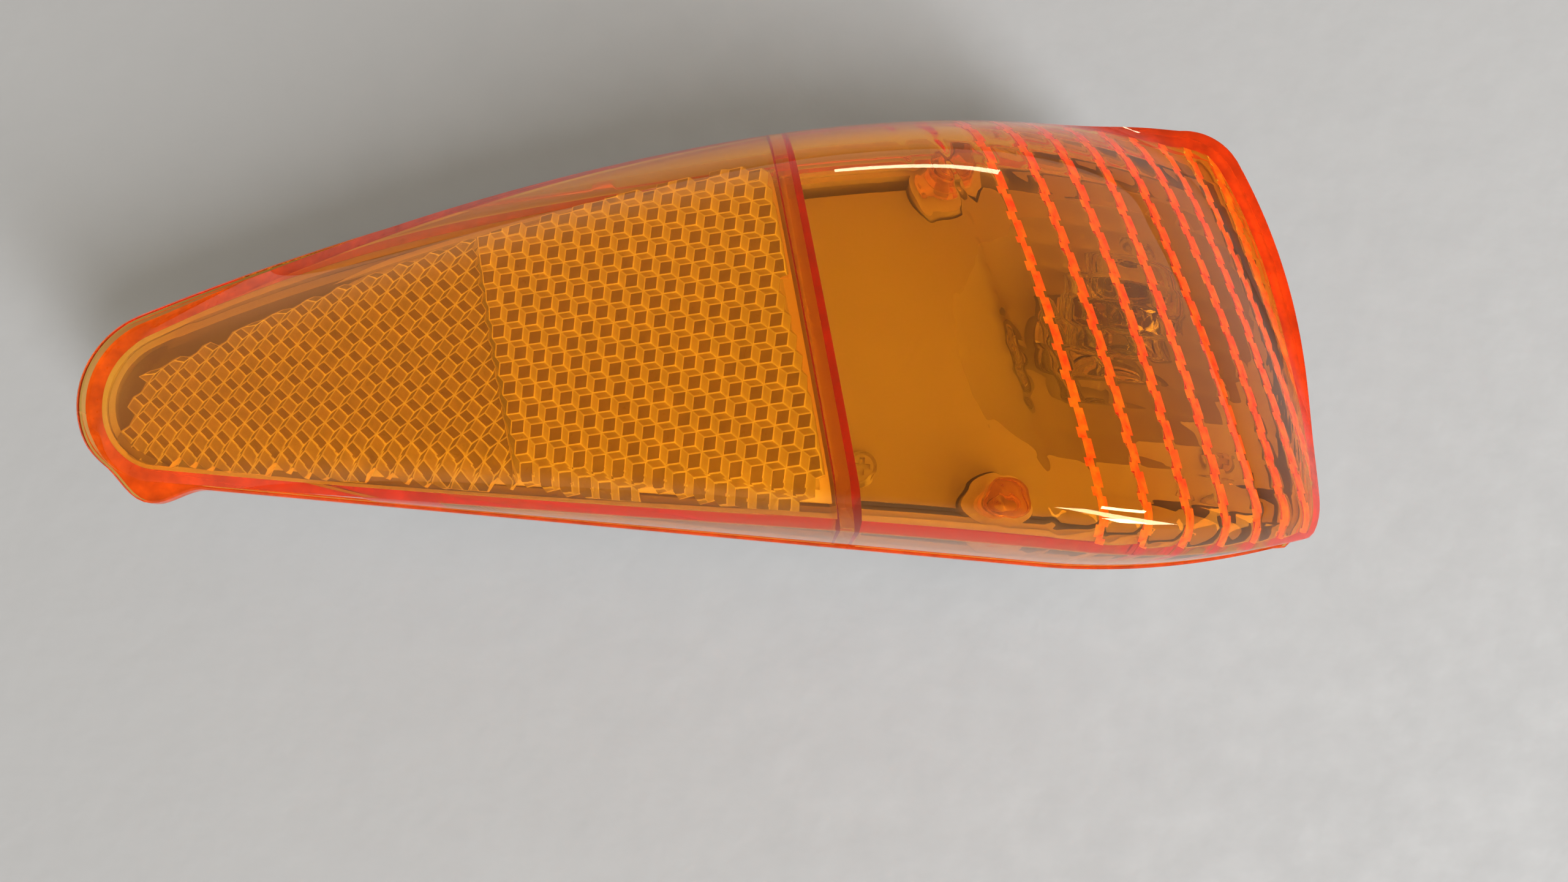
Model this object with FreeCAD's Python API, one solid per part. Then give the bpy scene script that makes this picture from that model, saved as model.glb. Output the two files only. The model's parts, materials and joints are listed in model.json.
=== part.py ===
import FreeCAD, Part
import math
import os

from FreeCAD import Matrix, Vector

# Turn signal lamp with a long tapered amber lens. Millimetres.
# X runs along the lamp from its nose (-X) to its wide end (+X), Y runs across it, and Z points out of the
# lens. The origin is in the middle of the lamp, in the plane of its three mounting posts.

# Levels along Z
BACK_WALL_Z = 14.0
BACK_WALL = 2.5
FLOOR_Z = BACK_WALL_Z + BACK_WALL
FLANGE_Z = 33.0
RIM_Z = 34.0

# Lens plan: corners and mid points of the outline
TOP_END = (75.0, 36.0)
TOP_SWEEP = 16.0
TOP_SWEEP_LENGTH = 100.0
NOSE_TOP_X = -92.0
NOSE_TIP = (-98.7, -21.0)
NOSE_BOTTOM = (-86.5, -34.3)
BOTTOM_BEND = (58.0, -35.6)
BOTTOM_BOW = (78.0, -33.7)
WIDE_CORNER = (95.6, -29.0)
WIDE_MIDDLE = (96.6, -6.0)
WIDE_TOP = (85.0, 31.0)
CORNER_ROUND = (81.6, 34.7)

# Lens crown, as heights above the rim
CROWN_HEIGHT = 38.0
SLANT = 0.255
APEX_Q = 40.0
WIDE_END_RADIUS = 65.0
WIDE_END_REACH = 56.0
SHOULDER_Q = 10.0
FACE_SLOPE = 0.28
CROSS_RADIUS = 200.0
CROSS_TOP_Y = -45.0
ROLL_MARGIN = 0.12
TOP_ROLL_WIDTH = 18.0
TOP_ROLL_DROP = 0.55
BOTTOM_ROLL_WIDTH = 7.0
BOTTOM_ROLL_TAPER = 5.0
BOTTOM_ROLL_DROP = 0.25
NOSE_ROLL_WIDTH = 13.0
NOSE_ROLL_DROP = 0.5
LOWEST_CROWN = 1.0
END_WALL_HEIGHT = 7.0
END_WALL_START = 50.0
END_WALL_REACH = 30.0
END_WALL_BLEND = 4.0
LENS_WALL = 2.4
LIP_WIDTH = 1.0
LIP_HEIGHT = 2.2
TONGUE_DROP = 3.4

# Divider between the reflector chamber and the lamp chamber
DIVIDER_Q = 17.0
DIVIDER_THICKNESS = 3.2

# Reflex panel behind the narrow part of the lens
PANEL_GAP = 0.15
CELL_PITCH = 3.2
CELL_DEPTH = CELL_PITCH * math.sqrt(2 / 3)
PANEL_BASE = 0.7
PANEL_THICKNESS = PANEL_BASE + CELL_DEPTH
PANEL_INSET = 1.8
PANEL_LOW_Z = RIM_Z + 0.3
PLATE_GAP = 0.7
PLATE_THICKNESS = 1.2
PLATE_RIM = 1.4

# Housing
HOUSING_SCALE = (0.92, 0.78)
HOUSING_WALL = 2.5
GROOVE_OUTER = 0.6
GROOVE_INNER = 3.4
GROOVE_DEPTH = 1.0
GASKET_PLAY = 0.1
FLANGE_WIDTH = 4.6
FLANGE_THICKNESS = 3.0

# Screws that hold the lens, driven from behind through tubular posts
# as x, y and the level of the head's seat
LENS_SCREWS = ((38.0, 27.0, 24.0), (50.0, -27.0, 24.0), (-46.0, -20.0, 19.0))
SCREW_RADIUS = 1.95
SCREW_HOLE = 2.15
SCREW_LENGTH = 19.0
SCREW_HEAD = 3.5
SCREW_HEAD_HEIGHT = 2.6
WASHER_RADIUS = 4.0
WASHER_THICKNESS = 0.8
POST_RADIUS = 5.6
POST_BORE = 4.4
BOSS_RADIUS = 3.9
BOSS_BORE = 2.05
BOSS_END = 0.8
WEB_WIDTH = 1.8
WEB_REACH = 14.0

# Mounting posts with threaded inserts
MOUNTS = ((-66.0, -16.0), (81.0, -17.0), (10.0, 18.0))
MOUNT_RADIUS = 7.0
MOUNT_RIB_ANGLES = (45.0, 0.0, 45.0)
MOUNT_RIB_REACH = 4.0
MOUNT_RIB_WIDTH = 1.8
MOUNT_RIB_LOW_Z = 4.5
INSERT_RADIUS = 3.5
INSERT_BORE = 2.5
INSERT_LENGTH = 9.0

# Breather behind the reflector chamber
VENT = (-22.0, -8.0)
VENT_SPIGOT = 3.0
VENT_BORE = 1.5
VENT_CAP_RADIUS = 5.2
VENT_CAP_HEIGHT = 5.6

# Bulb, its holder and the wiring
BULB = (64.0, 4.0)
HOLE_RADIUS = 13.5
HOLDER_RADIUS = 13.2
HOLDER_BACK_Z = 6.0
HOLDER_FLOOR_Z = 7.2
HOLDER_TOP_Z = 19.0
HOLDER_FLANGE = 17.0
FLANGE_LOW_Z = 11.4
RIB_COUNT = 12
RIB_REACH = 1.2
RIB_WIDTH = 1.6
SEAL_THICKNESS = 0.9
LUG_RADIUS = 16.0
LUG_HALF_ANGLE = 11.0
LUG_LOW_Z = FLOOR_Z + 0.2
LUG_TOP_Z = LUG_LOW_Z + 1.8
LUG_COUNT = 3
UNLOCK_TURN = 28.0
SOCKET_RADIUS = 8.15
SOCKET_BORE = 7.65
SOCKET_LOW_Z = 7.9
SOCKET_TOP_Z = 28.0
PIN_Z = 24.5
PIN_RADIUS = 0.95
PRESS_TRAVEL = 2.0
BULB_TURN = 20.0
SLOT_HALF_ANGLE = 9.0
CONTACT_Z = 15.6
CARRIER_LOW_Z = 12.6
CARRIER_TOP_Z = 14.6
SPRING_RADIUS = 5.2
SPRING_WIRE = 0.45
SPRING_TURNS = 3.0
TERMINAL_THICKNESS = 0.6
CAP_RADIUS = 7.5
CAP_LOW_Z = 17.0
CAP_TOP_Z = 33.0
GLASS_RADIUS = 9.2
GLASS_CENTRE_Z = 43.2
GLASS_THICKNESS = 0.6
NECK_RADIUS = 6.6
FILAMENT_Z = 41.5
COIL_LENGTH = 7.2
COIL_TURNS = 12
COIL_RADIUS = 0.5
COIL_WIRE = 0.13
WIRE_ANGLE = 187.0
WIRE_Z = 3.2
WIRE_RADIUS = 1.0
WIRE_SPREAD = 1.1
WIRE_START = 2.0
WIRE_END = 44.0
SLEEVE_BORE = 2.2
SLEEVE_RADIUS = 2.7
BOOT_RADIUS = 11.0
BOOT_LOW_Z = 0.6
PLUG_LENGTH = 22.0
PLUG_WIDTH = 12.0
PLUG_LOW_Z = 0.9
PLUG_HEIGHT = 8.6

# Bowl round the bulb
BOWL_PLATE_Z = 29.4
BOWL_PLATE = 1.5
BOWL_LOW_Z = 21.0
BOWL_INNER = 10.0
BOWL_OUTER = 22.0
BOWL_SCREWS = ((28.0, -22.0), (80.0, -20.0))
BOWL_SCREW_RADIUS = 1.4

CUT = 0.5
FAR = 140.0
OFFSET_STEPS = 40
GRID_COLUMNS = 60
GRID_ROWS = 30
GRID_CROWDING = 0.55
GRID_MARGIN = 2.6


def disc(x, y, z, radius, height):
    return Part.makeCylinder(radius, height, Vector(x, y, z))


def tube(x, y, z, outer, inner, height):
    return disc(x, y, z, outer, height).cut(disc(x, y, z - CUT, inner, height + 2 * CUT))


def fuse_all(shapes):
    return shapes[0].multiFuse(shapes[1:]).removeSplitter()


def revolve(points, x, y):
    """Solid turned about the vertical axis through x, y from (radius, z) points."""
    wire = Part.makePolygon([Vector(r, 0, z) for r, z in points + points[:1]])
    solid = Part.Face(wire).revolve(Vector(0, 0, 0), Vector(0, 0, 1), 360)
    return solid.translated(Vector(x, y, 0))


def save(name, shape):
    shape.exportStep(os.path.join("parts", name + ".step"))


def top_edge(x):
    return TOP_END[1] - TOP_SWEEP * ((TOP_END[0] - x) / TOP_SWEEP_LENGTH) ** 2


def top_edge_slope(x):
    return 2 * TOP_SWEEP * (TOP_END[0] - x) / TOP_SWEEP_LENGTH**2


def bottom_edge(x):
    """Lower edge: straight from the nose, then bent up to the wide end's corner."""
    (x0, y0), (x1, y1), (x2, y2) = BOTTOM_BEND, BOTTOM_BOW, WIDE_CORNER
    if x < x0:
        return y0 + (x - x0) * (NOSE_BOTTOM[1] - y0) / (NOSE_BOTTOM[0] - x0)
    first = (y1 - y0) / (x1 - x0)
    second = ((y2 - y1) / (x2 - x1) - first) / (x2 - x0)
    return y0 + first * (x - x0) + second * (x - x0) * (x - x1)


def spine_height(q):
    """Height of the crown along the lamp, where q is x read along the slanted cross-sections."""
    if q > APEX_Q + WIDE_END_REACH:
        rise = math.sqrt(WIDE_END_RADIUS**2 - WIDE_END_REACH**2)
        drop = WIDE_END_RADIUS - rise + (q - APEX_Q - WIDE_END_REACH) * WIDE_END_REACH / rise
        return CROWN_HEIGHT - drop
    if q > APEX_Q:
        return CROWN_HEIGHT - WIDE_END_RADIUS + math.sqrt(WIDE_END_RADIUS**2 - (q - APEX_Q) ** 2)
    reach = APEX_Q - SHOULDER_Q
    if q > SHOULDER_Q:
        return CROWN_HEIGHT - FACE_SLOPE * (APEX_Q - q) ** 2 / (2 * reach)
    return CROWN_HEIGHT - FACE_SLOPE * (reach / 2 + SHOULDER_Q - q)


def roll(distance, width, drop):
    """Share of the height that is left beside an edge that rolls over."""
    near = max(0.0, 1 - max(distance, -ROLL_MARGIN * width) / width)
    return 1 - drop * near**3


def crown_height(x, y):
    """Height of the lens's outer face above the rim plane."""
    height = spine_height(x + SLANT * y) - (y - CROSS_TOP_Y) ** 2 / (2 * CROSS_RADIUS)
    across = (top_edge(x) - y) / math.hypot(1, top_edge_slope(x))
    height *= roll(across, TOP_ROLL_WIDTH, TOP_ROLL_DROP)
    nearness = max(0.0, min(1.0, (DIVIDER_Q - x) / (DIVIDER_Q - NOSE_TIP[0])))
    width = BOTTOM_ROLL_WIDTH + BOTTOM_ROLL_TAPER * nearness
    height *= roll(y - bottom_edge(x), width, BOTTOM_ROLL_DROP + 0.2 * nearness)
    height *= roll(x - NOSE_TIP[0], NOSE_ROLL_WIDTH, NOSE_ROLL_DROP)
    share = max(0.0, min(1.0, (x + SLANT * y - END_WALL_START) / END_WALL_REACH))
    share = share * share * (3 - 2 * share)
    lowest = LOWEST_CROWN + (END_WALL_HEIGHT - LOWEST_CROWN) * share
    return (height + lowest + math.hypot(height - lowest, END_WALL_BLEND * share)) / 2


def lowered_point(x, y, depth):
    """Point of the outer face, lowered so far that a wall of this depth lies over it."""
    step = 0.05
    slope_x = (crown_height(x + step, y) - crown_height(x - step, y)) / (2 * step)
    slope_y = (crown_height(x, y + step) - crown_height(x, y - step)) / (2 * step)
    steepness = math.sqrt(1 + slope_x**2 + slope_y**2)
    return Vector(x, y, RIM_Z + crown_height(x, y) - depth * steepness)


def under_crown(depth):
    """Everything below the lens's outer face, or below the face of a wall of this depth."""
    left, right = NOSE_TIP[0] - GRID_MARGIN, WIDE_MIDDLE[0] + GRID_MARGIN
    points = []
    for i in range(GRID_COLUMNS + 1):
        x = left + (right - left) * i / GRID_COLUMNS
        low = bottom_edge(x) - GRID_MARGIN
        high = max(top_edge(x) + GRID_MARGIN, low + 12.0)
        line = []
        for j in range(GRID_ROWS + 1):
            share = j / GRID_ROWS
            share -= GRID_CROWDING * math.sin(2 * math.pi * share) / (2 * math.pi)
            line.append(lowered_point(x, low + (high - low) * share, depth))
        points.append(line)
    surface = Part.BSplineSurface()
    surface.interpolate(points)
    return surface.toShape().extrude(Vector(0, 0, -FAR))


def outline():
    """Closed plan outline of the lens wall, at z = 0."""
    nose_top = (NOSE_TOP_X, top_edge(NOSE_TOP_X))
    pole_x = (TOP_END[0] + NOSE_TOP_X) / 2
    top = Part.BezierCurve()
    top.setPoles([Vector(*TOP_END, 0), Vector(pole_x, TOP_END[1], 0), Vector(*nose_top, 0)])

    def arc(a, b, c):
        return Part.Arc(Vector(*a, 0), Vector(*b, 0), Vector(*c, 0)).toShape()

    edges = [
        top.toShape(),
        arc(nose_top, NOSE_TIP, NOSE_BOTTOM),
        Part.makeLine(Vector(*NOSE_BOTTOM, 0), Vector(*BOTTOM_BEND, 0)),
        arc(BOTTOM_BEND, BOTTOM_BOW, WIDE_CORNER),
        arc(WIDE_CORNER, WIDE_MIDDLE, WIDE_TOP),
        arc(WIDE_TOP, CORNER_ROUND, TOP_END),
    ]
    return Part.Wire(edges)


def prism(wire, low, high):
    """Straight prism of a plan outline between two levels."""
    return Part.Face(wire).extrude(Vector(0, 0, high - low)).translated(Vector(0, 0, low))


def inset(wire, distance):
    """Outline moved inwards by a distance, or outwards by a negative one."""
    edges = []
    for edge in wire.makeOffset2D(-distance).OrderedEdges:
        if isinstance(edge.Curve, (Part.Circle, Part.Line)):
            edges.append(edge)
        else:
            curve = Part.BSplineCurve()
            curve.interpolate(edge.discretize(OFFSET_STEPS))
            edges.append(curve.toShape())
    return Part.Wire(Part.__sortEdges__(edges))


def band(q_low, q_high, z_low, z_high):
    """Slanted slab across the lamp between two stations of q."""
    reach = 80.0
    corners = []
    for q, y in ((q_low, -reach), (q_high, -reach), (q_high, reach), (q_low, reach)):
        corners.append(Vector(q - SLANT * y, y, 0))
    return prism(Part.makePolygon(corners + corners[:1]), z_low, z_high)


PLAN = outline()


def tongue():
    """Rounded locating tongue at the nose's lower edge, at rim level."""
    x0, y0 = NOSE_BOTTOM
    points = [
        Vector(x0 - 10.0, y0 + 5.0, 0),
        Vector(x0 - 4.0, y0 + 0.4, 0),
        Vector(x0 + 1.0, y0 - TONGUE_DROP, 0),
        Vector(x0 + 4.6, y0 - TONGUE_DROP + 1.2, 0),
        Vector(x0 + 9.0, y0 + 0.2, 0),
    ]
    curve = Part.BSplineCurve()
    curve.interpolate(points)
    wire = Part.Wire([curve.toShape(), Part.makeLine(points[-1], points[0])])
    return prism(wire, RIM_Z, RIM_Z + LIP_HEIGHT)


def screw_tip(seat):
    return seat - WASHER_THICKNESS + SCREW_LENGTH


def outer_lens():
    outer = prism(PLAN, RIM_Z, RIM_Z + CROWN_HEIGHT + 1).common(under_crown(0.0))
    cavity = prism(inset(PLAN, LENS_WALL), RIM_Z - CUT, RIM_Z + CROWN_HEIGHT).common(
        under_crown(LENS_WALL)
    )
    lip = prism(inset(PLAN, -LIP_WIDTH), RIM_Z, RIM_Z + LIP_HEIGHT)
    shell = outer.fuse(lip).fuse(tongue()).cut(cavity)
    half = DIVIDER_THICKNESS / 2
    fill = [band(DIVIDER_Q - half, DIVIDER_Q + half, RIM_Z + 0.3, RIM_Z + FAR)]
    for x, y, seat in LENS_SCREWS:
        height = screw_tip(seat) + 2 * BOSS_END - RIM_Z
        post = Part.makeCone(BOSS_RADIUS, BOSS_RADIUS - 0.4, height, Vector(x, y, RIM_Z))
        web = Part.makeBox(WEB_WIDTH, WEB_REACH, height / 2, Vector(x - WEB_WIDTH / 2, y, RIM_Z))
        if y < 0:
            web = web.mirror(Vector(x, y, 0), Vector(0, 1, 0))
        fill.append(post)
        fill.append(web)
    inside = fuse_all(fill).common(cavity)
    lens = shell.fuse(inside)
    for x, y, seat in LENS_SCREWS:
        lens = lens.cut(disc(x, y, RIM_Z - CUT, BOSS_BORE, screw_tip(seat) + BOSS_END - RIM_Z + CUT))
    return lens.removeSplitter()


def panel_region(extra, z_high):
    """Plan region of the reflex panel, as a prism."""
    region = prism(inset(PLAN, LENS_WALL + PANEL_INSET + extra), PANEL_LOW_Z, z_high)
    edge = DIVIDER_Q - DIVIDER_THICKNESS / 2 - 0.4 - extra
    return region.common(band(-FAR, edge, RIM_Z - 6.0, z_high + 1.0))


def reflex_panel():
    depth = LENS_WALL + PANEL_GAP
    slab = panel_region(0.0, RIM_Z + FAR / 2).common(under_crown(depth))
    return slab.cut(under_crown(depth + PANEL_THICKNESS))


def reflex_back_plate():
    """Tray closed onto the back of the prism panel."""
    front = LENS_WALL + PANEL_GAP + PANEL_THICKNESS
    face = front + PLATE_GAP
    tray = panel_region(0.0, RIM_Z + FAR / 2).common(under_crown(front + 0.05))
    tray = tray.cut(under_crown(face + PLATE_THICKNESS))
    hollow = panel_region(PLATE_RIM, RIM_Z + FAR / 2).cut(under_crown(face))
    return tray.cut(hollow)


def tapered(wire, low, high):
    """Solid between an outline at the upper level and its scaled copy at the lower one."""
    share = (high - low) / (FLANGE_Z - BACK_WALL_Z)
    scale = Matrix()
    scale.scale(1 - (1 - HOUSING_SCALE[0]) * share, 1 - (1 - HOUSING_SCALE[1]) * share, 1)
    bottom = wire.transformGeometry(scale).translated(Vector(0, 0, low))
    top = wire.transformGeometry(Matrix()).translated(Vector(0, 0, high))
    return Part.makeLoft([bottom, top], True, True)


def lug_ring(inner, outer, half_angle, low, high, turn):
    """Ring sectors for the holder's lugs and the housing's notches."""
    sectors = []
    for i in range(LUG_COUNT):
        start = turn + i * 360 / LUG_COUNT - half_angle
        sector = Part.makeCylinder(
            outer, high - low, Vector(0, 0, low), Vector(0, 0, 1), 2 * half_angle
        )
        sector = sector.rotated(Vector(0, 0, 0), Vector(0, 0, 1), start)
        sectors.append(sector.cut(Part.makeCylinder(inner, FAR)))
    return fuse_all(sectors).translated(Vector(BULB[0], BULB[1], 0))


def mount_ribs(turn):
    """Four tapered ribs between a mounting post and the back wall."""
    height = BACK_WALL_Z + CUT - MOUNT_RIB_LOW_Z
    reach = MOUNT_RADIUS + MOUNT_RIB_REACH
    cone = Part.makeCone(MOUNT_RADIUS, reach, height, Vector(0, 0, MOUNT_RIB_LOW_Z))
    ribs = []
    for quarter in range(4):
        corner = Vector(0, -MOUNT_RIB_WIDTH / 2, MOUNT_RIB_LOW_Z)
        rib = Part.makeBox(reach, MOUNT_RIB_WIDTH, height, corner)
        rib = rib.rotated(Vector(0, 0, 0), Vector(0, 0, 1), turn + 90 * quarter)
        ribs.append(rib.common(cone))
    return fuse_all(ribs)


def housing():
    solid = tapered(PLAN, BACK_WALL_Z, FLANGE_Z)
    inner = inset(PLAN, HOUSING_WALL)
    hollow = tapered(inner, BACK_WALL_Z, FLANGE_Z).common(
        Part.makeBox(2 * FAR, FAR, FAR, Vector(-FAR, -FAR / 2, FLOOR_Z))
    )
    shell = solid.cut(hollow)
    ledge = prism(PLAN, FLANGE_Z - FLANGE_THICKNESS, FLANGE_Z).cut(
        prism(inset(PLAN, FLANGE_WIDTH), 0, FAR)
    )
    ledge = ledge.common(solid)
    half = HOUSING_WALL / 2
    baffle = band(DIVIDER_Q - half, DIVIDER_Q + half, FLOOR_Z - CUT, FLANGE_Z).common(solid)
    parts = [shell, ledge, baffle]
    for x, y, seat in LENS_SCREWS:
        parts.append(disc(x, y, BACK_WALL_Z, POST_RADIUS, FLANGE_Z + 0.5 - BACK_WALL_Z))
    for (x, y), turn in zip(MOUNTS, MOUNT_RIB_ANGLES):
        parts.append(disc(x, y, 0, MOUNT_RADIUS, FLOOR_Z - CUT))
        parts.append(mount_ribs(turn).translated(Vector(x, y, 0)))
    for x, y in BOWL_SCREWS:
        parts.append(disc(x, y, FLOOR_Z - CUT, 3.2, BOWL_PLATE_Z - FLOOR_Z + CUT))
    parts.append(disc(*VENT, BACK_WALL_Z - VENT_SPIGOT, VENT_SPIGOT, VENT_SPIGOT + CUT))
    body = fuse_all(parts)
    cuts = [
        prism(inset(PLAN, GROOVE_OUTER), FLANGE_Z - GROOVE_DEPTH, FLANGE_Z + CUT).cut(
            prism(inset(PLAN, GROOVE_INNER), 0, FAR)
        ),
        disc(*BULB, 0, HOLE_RADIUS, FLOOR_Z + CUT),
        lug_ring(HOLE_RADIUS - 1, LUG_RADIUS + 0.3, LUG_HALF_ANGLE + 1.5, 13, FLOOR_Z + CUT, UNLOCK_TURN),
        disc(*VENT, 0, VENT_BORE, FLOOR_Z + CUT),
    ]
    for x, y, seat in LENS_SCREWS:
        cuts.append(disc(x, y, 0, POST_BORE, seat))
        cuts.append(disc(x, y, 0, SCREW_HOLE, FAR))
    for x, y in MOUNTS:
        cuts.append(disc(x, y, -CUT, INSERT_RADIUS, INSERT_LENGTH + 1.0 + CUT))
    for x, y in BOWL_SCREWS:
        cuts.append(disc(x, y, FLOOR_Z + 2.0, BOWL_SCREW_RADIUS, FAR))
    for cut in cuts:
        body = body.cut(cut)
    return body.removeSplitter()


def lens_gasket():
    low = FLANGE_Z - GROOVE_DEPTH
    ring = prism(inset(PLAN, GROOVE_OUTER + GASKET_PLAY), low, RIM_Z)
    return ring.cut(prism(inset(PLAN, GROOVE_INNER - GASKET_PLAY), 0, FAR))


def bulb_reflector():
    """Bowl round the bulb, with a flat plate that fills the lamp chamber."""
    plan = prism(inset(PLAN, FLANGE_WIDTH + 2.6), BOWL_LOW_Z - 2, BOWL_PLATE_Z + BOWL_PLATE)
    plan = plan.common(band(DIVIDER_Q + HOUSING_WALL / 2 + 0.5, FAR, 0, FAR))
    steps = 12
    inner = []
    for i in range(steps + 1):
        r = BOWL_INNER + (BOWL_OUTER - BOWL_INNER) * i / steps
        rise = (r**2 - BOWL_INNER**2) / (BOWL_OUTER**2 - BOWL_INNER**2)
        inner.append((r, BOWL_LOW_Z + (BOWL_PLATE_Z + BOWL_PLATE - BOWL_LOW_Z) * rise))
    top_z = BOWL_PLATE_Z + BOWL_PLATE
    void = revolve([(0, BOWL_LOW_Z)] + inner + [(BOWL_OUTER, top_z + 1), (0, top_z + 1)], *BULB)
    lower = [(r + 1.0, z - 1.2) for r, z in inner]
    body = revolve([(0, BOWL_LOW_Z - 1.2)] + lower + [(0, lower[-1][1])], *BULB)
    plate = plan.common(disc(0, 0, BOWL_PLATE_Z, FAR, BOWL_PLATE))
    bowl = plate.fuse(body.common(plan)).cut(void).cut(disc(*BULB, 0, BOWL_INNER, FAR))
    for x, y, seat in LENS_SCREWS[:2]:
        bowl = bowl.cut(disc(x, y, 0, POST_RADIUS + 0.5, FAR))
    for x, y in BOWL_SCREWS:
        bowl = bowl.cut(disc(x, y, 0, BOWL_SCREW_RADIUS + 0.3, FAR))
    return bowl.removeSplitter()


def pan_screw(x, y, seat, radius, length, head, head_height, up):
    """Cross-recess screw whose head sits on a seat and whose shank points up or down."""
    profile = [
        (0, 0), (head * 0.75, 0), (head, head_height * 0.45), (head, head_height),
        (radius, head_height), (radius, head_height + length - 1.6), (0.4, head_height + length),
        (0, head_height + length),
    ]
    screw = revolve(profile, 0, 0)
    arm = head * 1.1
    for size in ((arm, 0.9), (0.9, arm)):
        slot = Part.makeBox(size[0], size[1], head_height * 0.55, Vector(-size[0] / 2, -size[1] / 2, 0))
        screw = screw.cut(slot)
    if up:
        return screw.translated(Vector(x, y, seat - head_height))
    screw = screw.rotated(Vector(0, 0, 0), Vector(1, 0, 0), 180)
    return screw.translated(Vector(x, y, seat + head_height))


def lens_screws():
    screws = []
    for x, y, seat in LENS_SCREWS:
        low = seat - WASHER_THICKNESS
        screws.append(
            pan_screw(x, y, low, SCREW_RADIUS, SCREW_LENGTH, SCREW_HEAD, SCREW_HEAD_HEIGHT, True)
        )
    return Part.makeCompound(screws)


def lens_screw_washers():
    rings = []
    for x, y, seat in LENS_SCREWS:
        low = seat - WASHER_THICKNESS
        rings.append(tube(x, y, low, WASHER_RADIUS, SCREW_HOLE, WASHER_THICKNESS))
    return Part.makeCompound(rings)


def bowl_screws():
    screws = []
    for x, y in BOWL_SCREWS:
        top = BOWL_PLATE_Z + BOWL_PLATE
        screws.append(pan_screw(x, y, top, BOWL_SCREW_RADIUS - 0.05, 8.0, 2.6, 1.6, False))
    return Part.makeCompound(screws)


def mount_inserts():
    """Knurled brass bushes: two grooved bands round a plain sleeve."""
    bushes = []
    for x, y in MOUNTS:
        profile = [
            (INSERT_BORE, 0), (INSERT_RADIUS, 0), (INSERT_RADIUS, 3.2), (INSERT_RADIUS - 0.5, 3.6),
            (INSERT_RADIUS - 0.5, 5.2), (INSERT_RADIUS, 5.6), (INSERT_RADIUS, INSERT_LENGTH),
            (INSERT_BORE, INSERT_LENGTH),
        ]
        bushes.append(revolve(profile, x, y))
    return Part.makeCompound(bushes)


def vent_cap():
    x, y = VENT
    low = BACK_WALL_Z - 7.0
    spigot = VENT_SPIGOT + 0.05
    top = low + VENT_CAP_HEIGHT
    profile = [
        (0, low), (VENT_CAP_RADIUS - 1.0, low), (VENT_CAP_RADIUS, low + 1.0), (VENT_CAP_RADIUS, top),
        (spigot, top), (spigot, low + 4.0), (0, low + 4.0),
    ]
    cap = revolve(profile, x, y)
    for angle in (0, 60, 120):
        slot = Part.makeBox(12, 1.2, 1.2, Vector(-6, -0.6, low + 4.6))
        cap = cap.cut(slot.rotated(Vector(0, 0, 0), Vector(0, 0, 1), angle).translated(Vector(x, y, 0)))
    return cap


def bulb_holder():
    """Bulb holder: barrel, flange, three lugs and a ring of grip ribs."""
    x, y = BULB
    flange_top = BACK_WALL_Z - SEAL_THICKNESS
    parts = [
        disc(x, y, HOLDER_BACK_Z, HOLDER_RADIUS, HOLDER_TOP_Z - HOLDER_BACK_Z),
        disc(x, y, FLANGE_LOW_Z, HOLDER_FLANGE, flange_top - FLANGE_LOW_Z),
        lug_ring(HOLDER_RADIUS - 1, LUG_RADIUS, LUG_HALF_ANGLE, LUG_LOW_Z, LUG_TOP_Z, 0),
    ]
    for i in range(RIB_COUNT):
        corner = Vector(HOLDER_RADIUS - 0.4, -RIB_WIDTH / 2, HOLDER_BACK_Z)
        rib = Part.makeBox(RIB_REACH, RIB_WIDTH, FLANGE_LOW_Z - HOLDER_BACK_Z, corner)
        rib = rib.rotated(Vector(0, 0, 0), Vector(0, 0, 1), (i + 0.5) * 360 / RIB_COUNT)
        parts.append(rib.translated(Vector(x, y, 0)))
    body = fuse_all(parts)
    body = body.cut(disc(x, y, HOLDER_FLOOR_Z, SOCKET_RADIUS + 0.05, FAR))
    for slot in (live_path(0.15), ground_path(0.15)):
        body = body.cut(slot)
    return body.removeSplitter()


def radial_box(inner, outer, width, low, high, side):
    """Box that runs outwards from the bulb's axis, along the wires or opposite to them."""
    box = Part.makeBox(outer - inner, width, high - low, Vector(inner, -width / 2, low))
    box = box.rotated(Vector(0, 0, 0), Vector(0, 0, 1), WIRE_ANGLE + side)
    return box.translated(Vector(BULB[0], BULB[1], 0))


def live_path(play):
    """Tab of the live terminal through the holder's floor."""
    return radial_box(
        3.0 - play, 3.0 + TERMINAL_THICKNESS + play, 3.0 + 2 * play, WIRE_Z + WIRE_RADIUS,
        HOLDER_FLOOR_Z + 0.1, 55
    )


def ground_path(play):
    """Strip of the ground terminal beside the socket shell."""
    inner = SOCKET_RADIUS + 0.02 - play
    return radial_box(
        inner, inner + TERMINAL_THICKNESS + 2 * play, 3.6 + 2 * play, WIRE_Z + WIRE_RADIUS,
        HOLDER_TOP_Z - 4.0 + play, -75
    )


def holder_seal():
    low = BACK_WALL_Z - SEAL_THICKNESS
    return tube(*BULB, low, LUG_RADIUS + 0.7, HOLDER_RADIUS + 0.15, SEAL_THICKNESS - 0.05)


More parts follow.
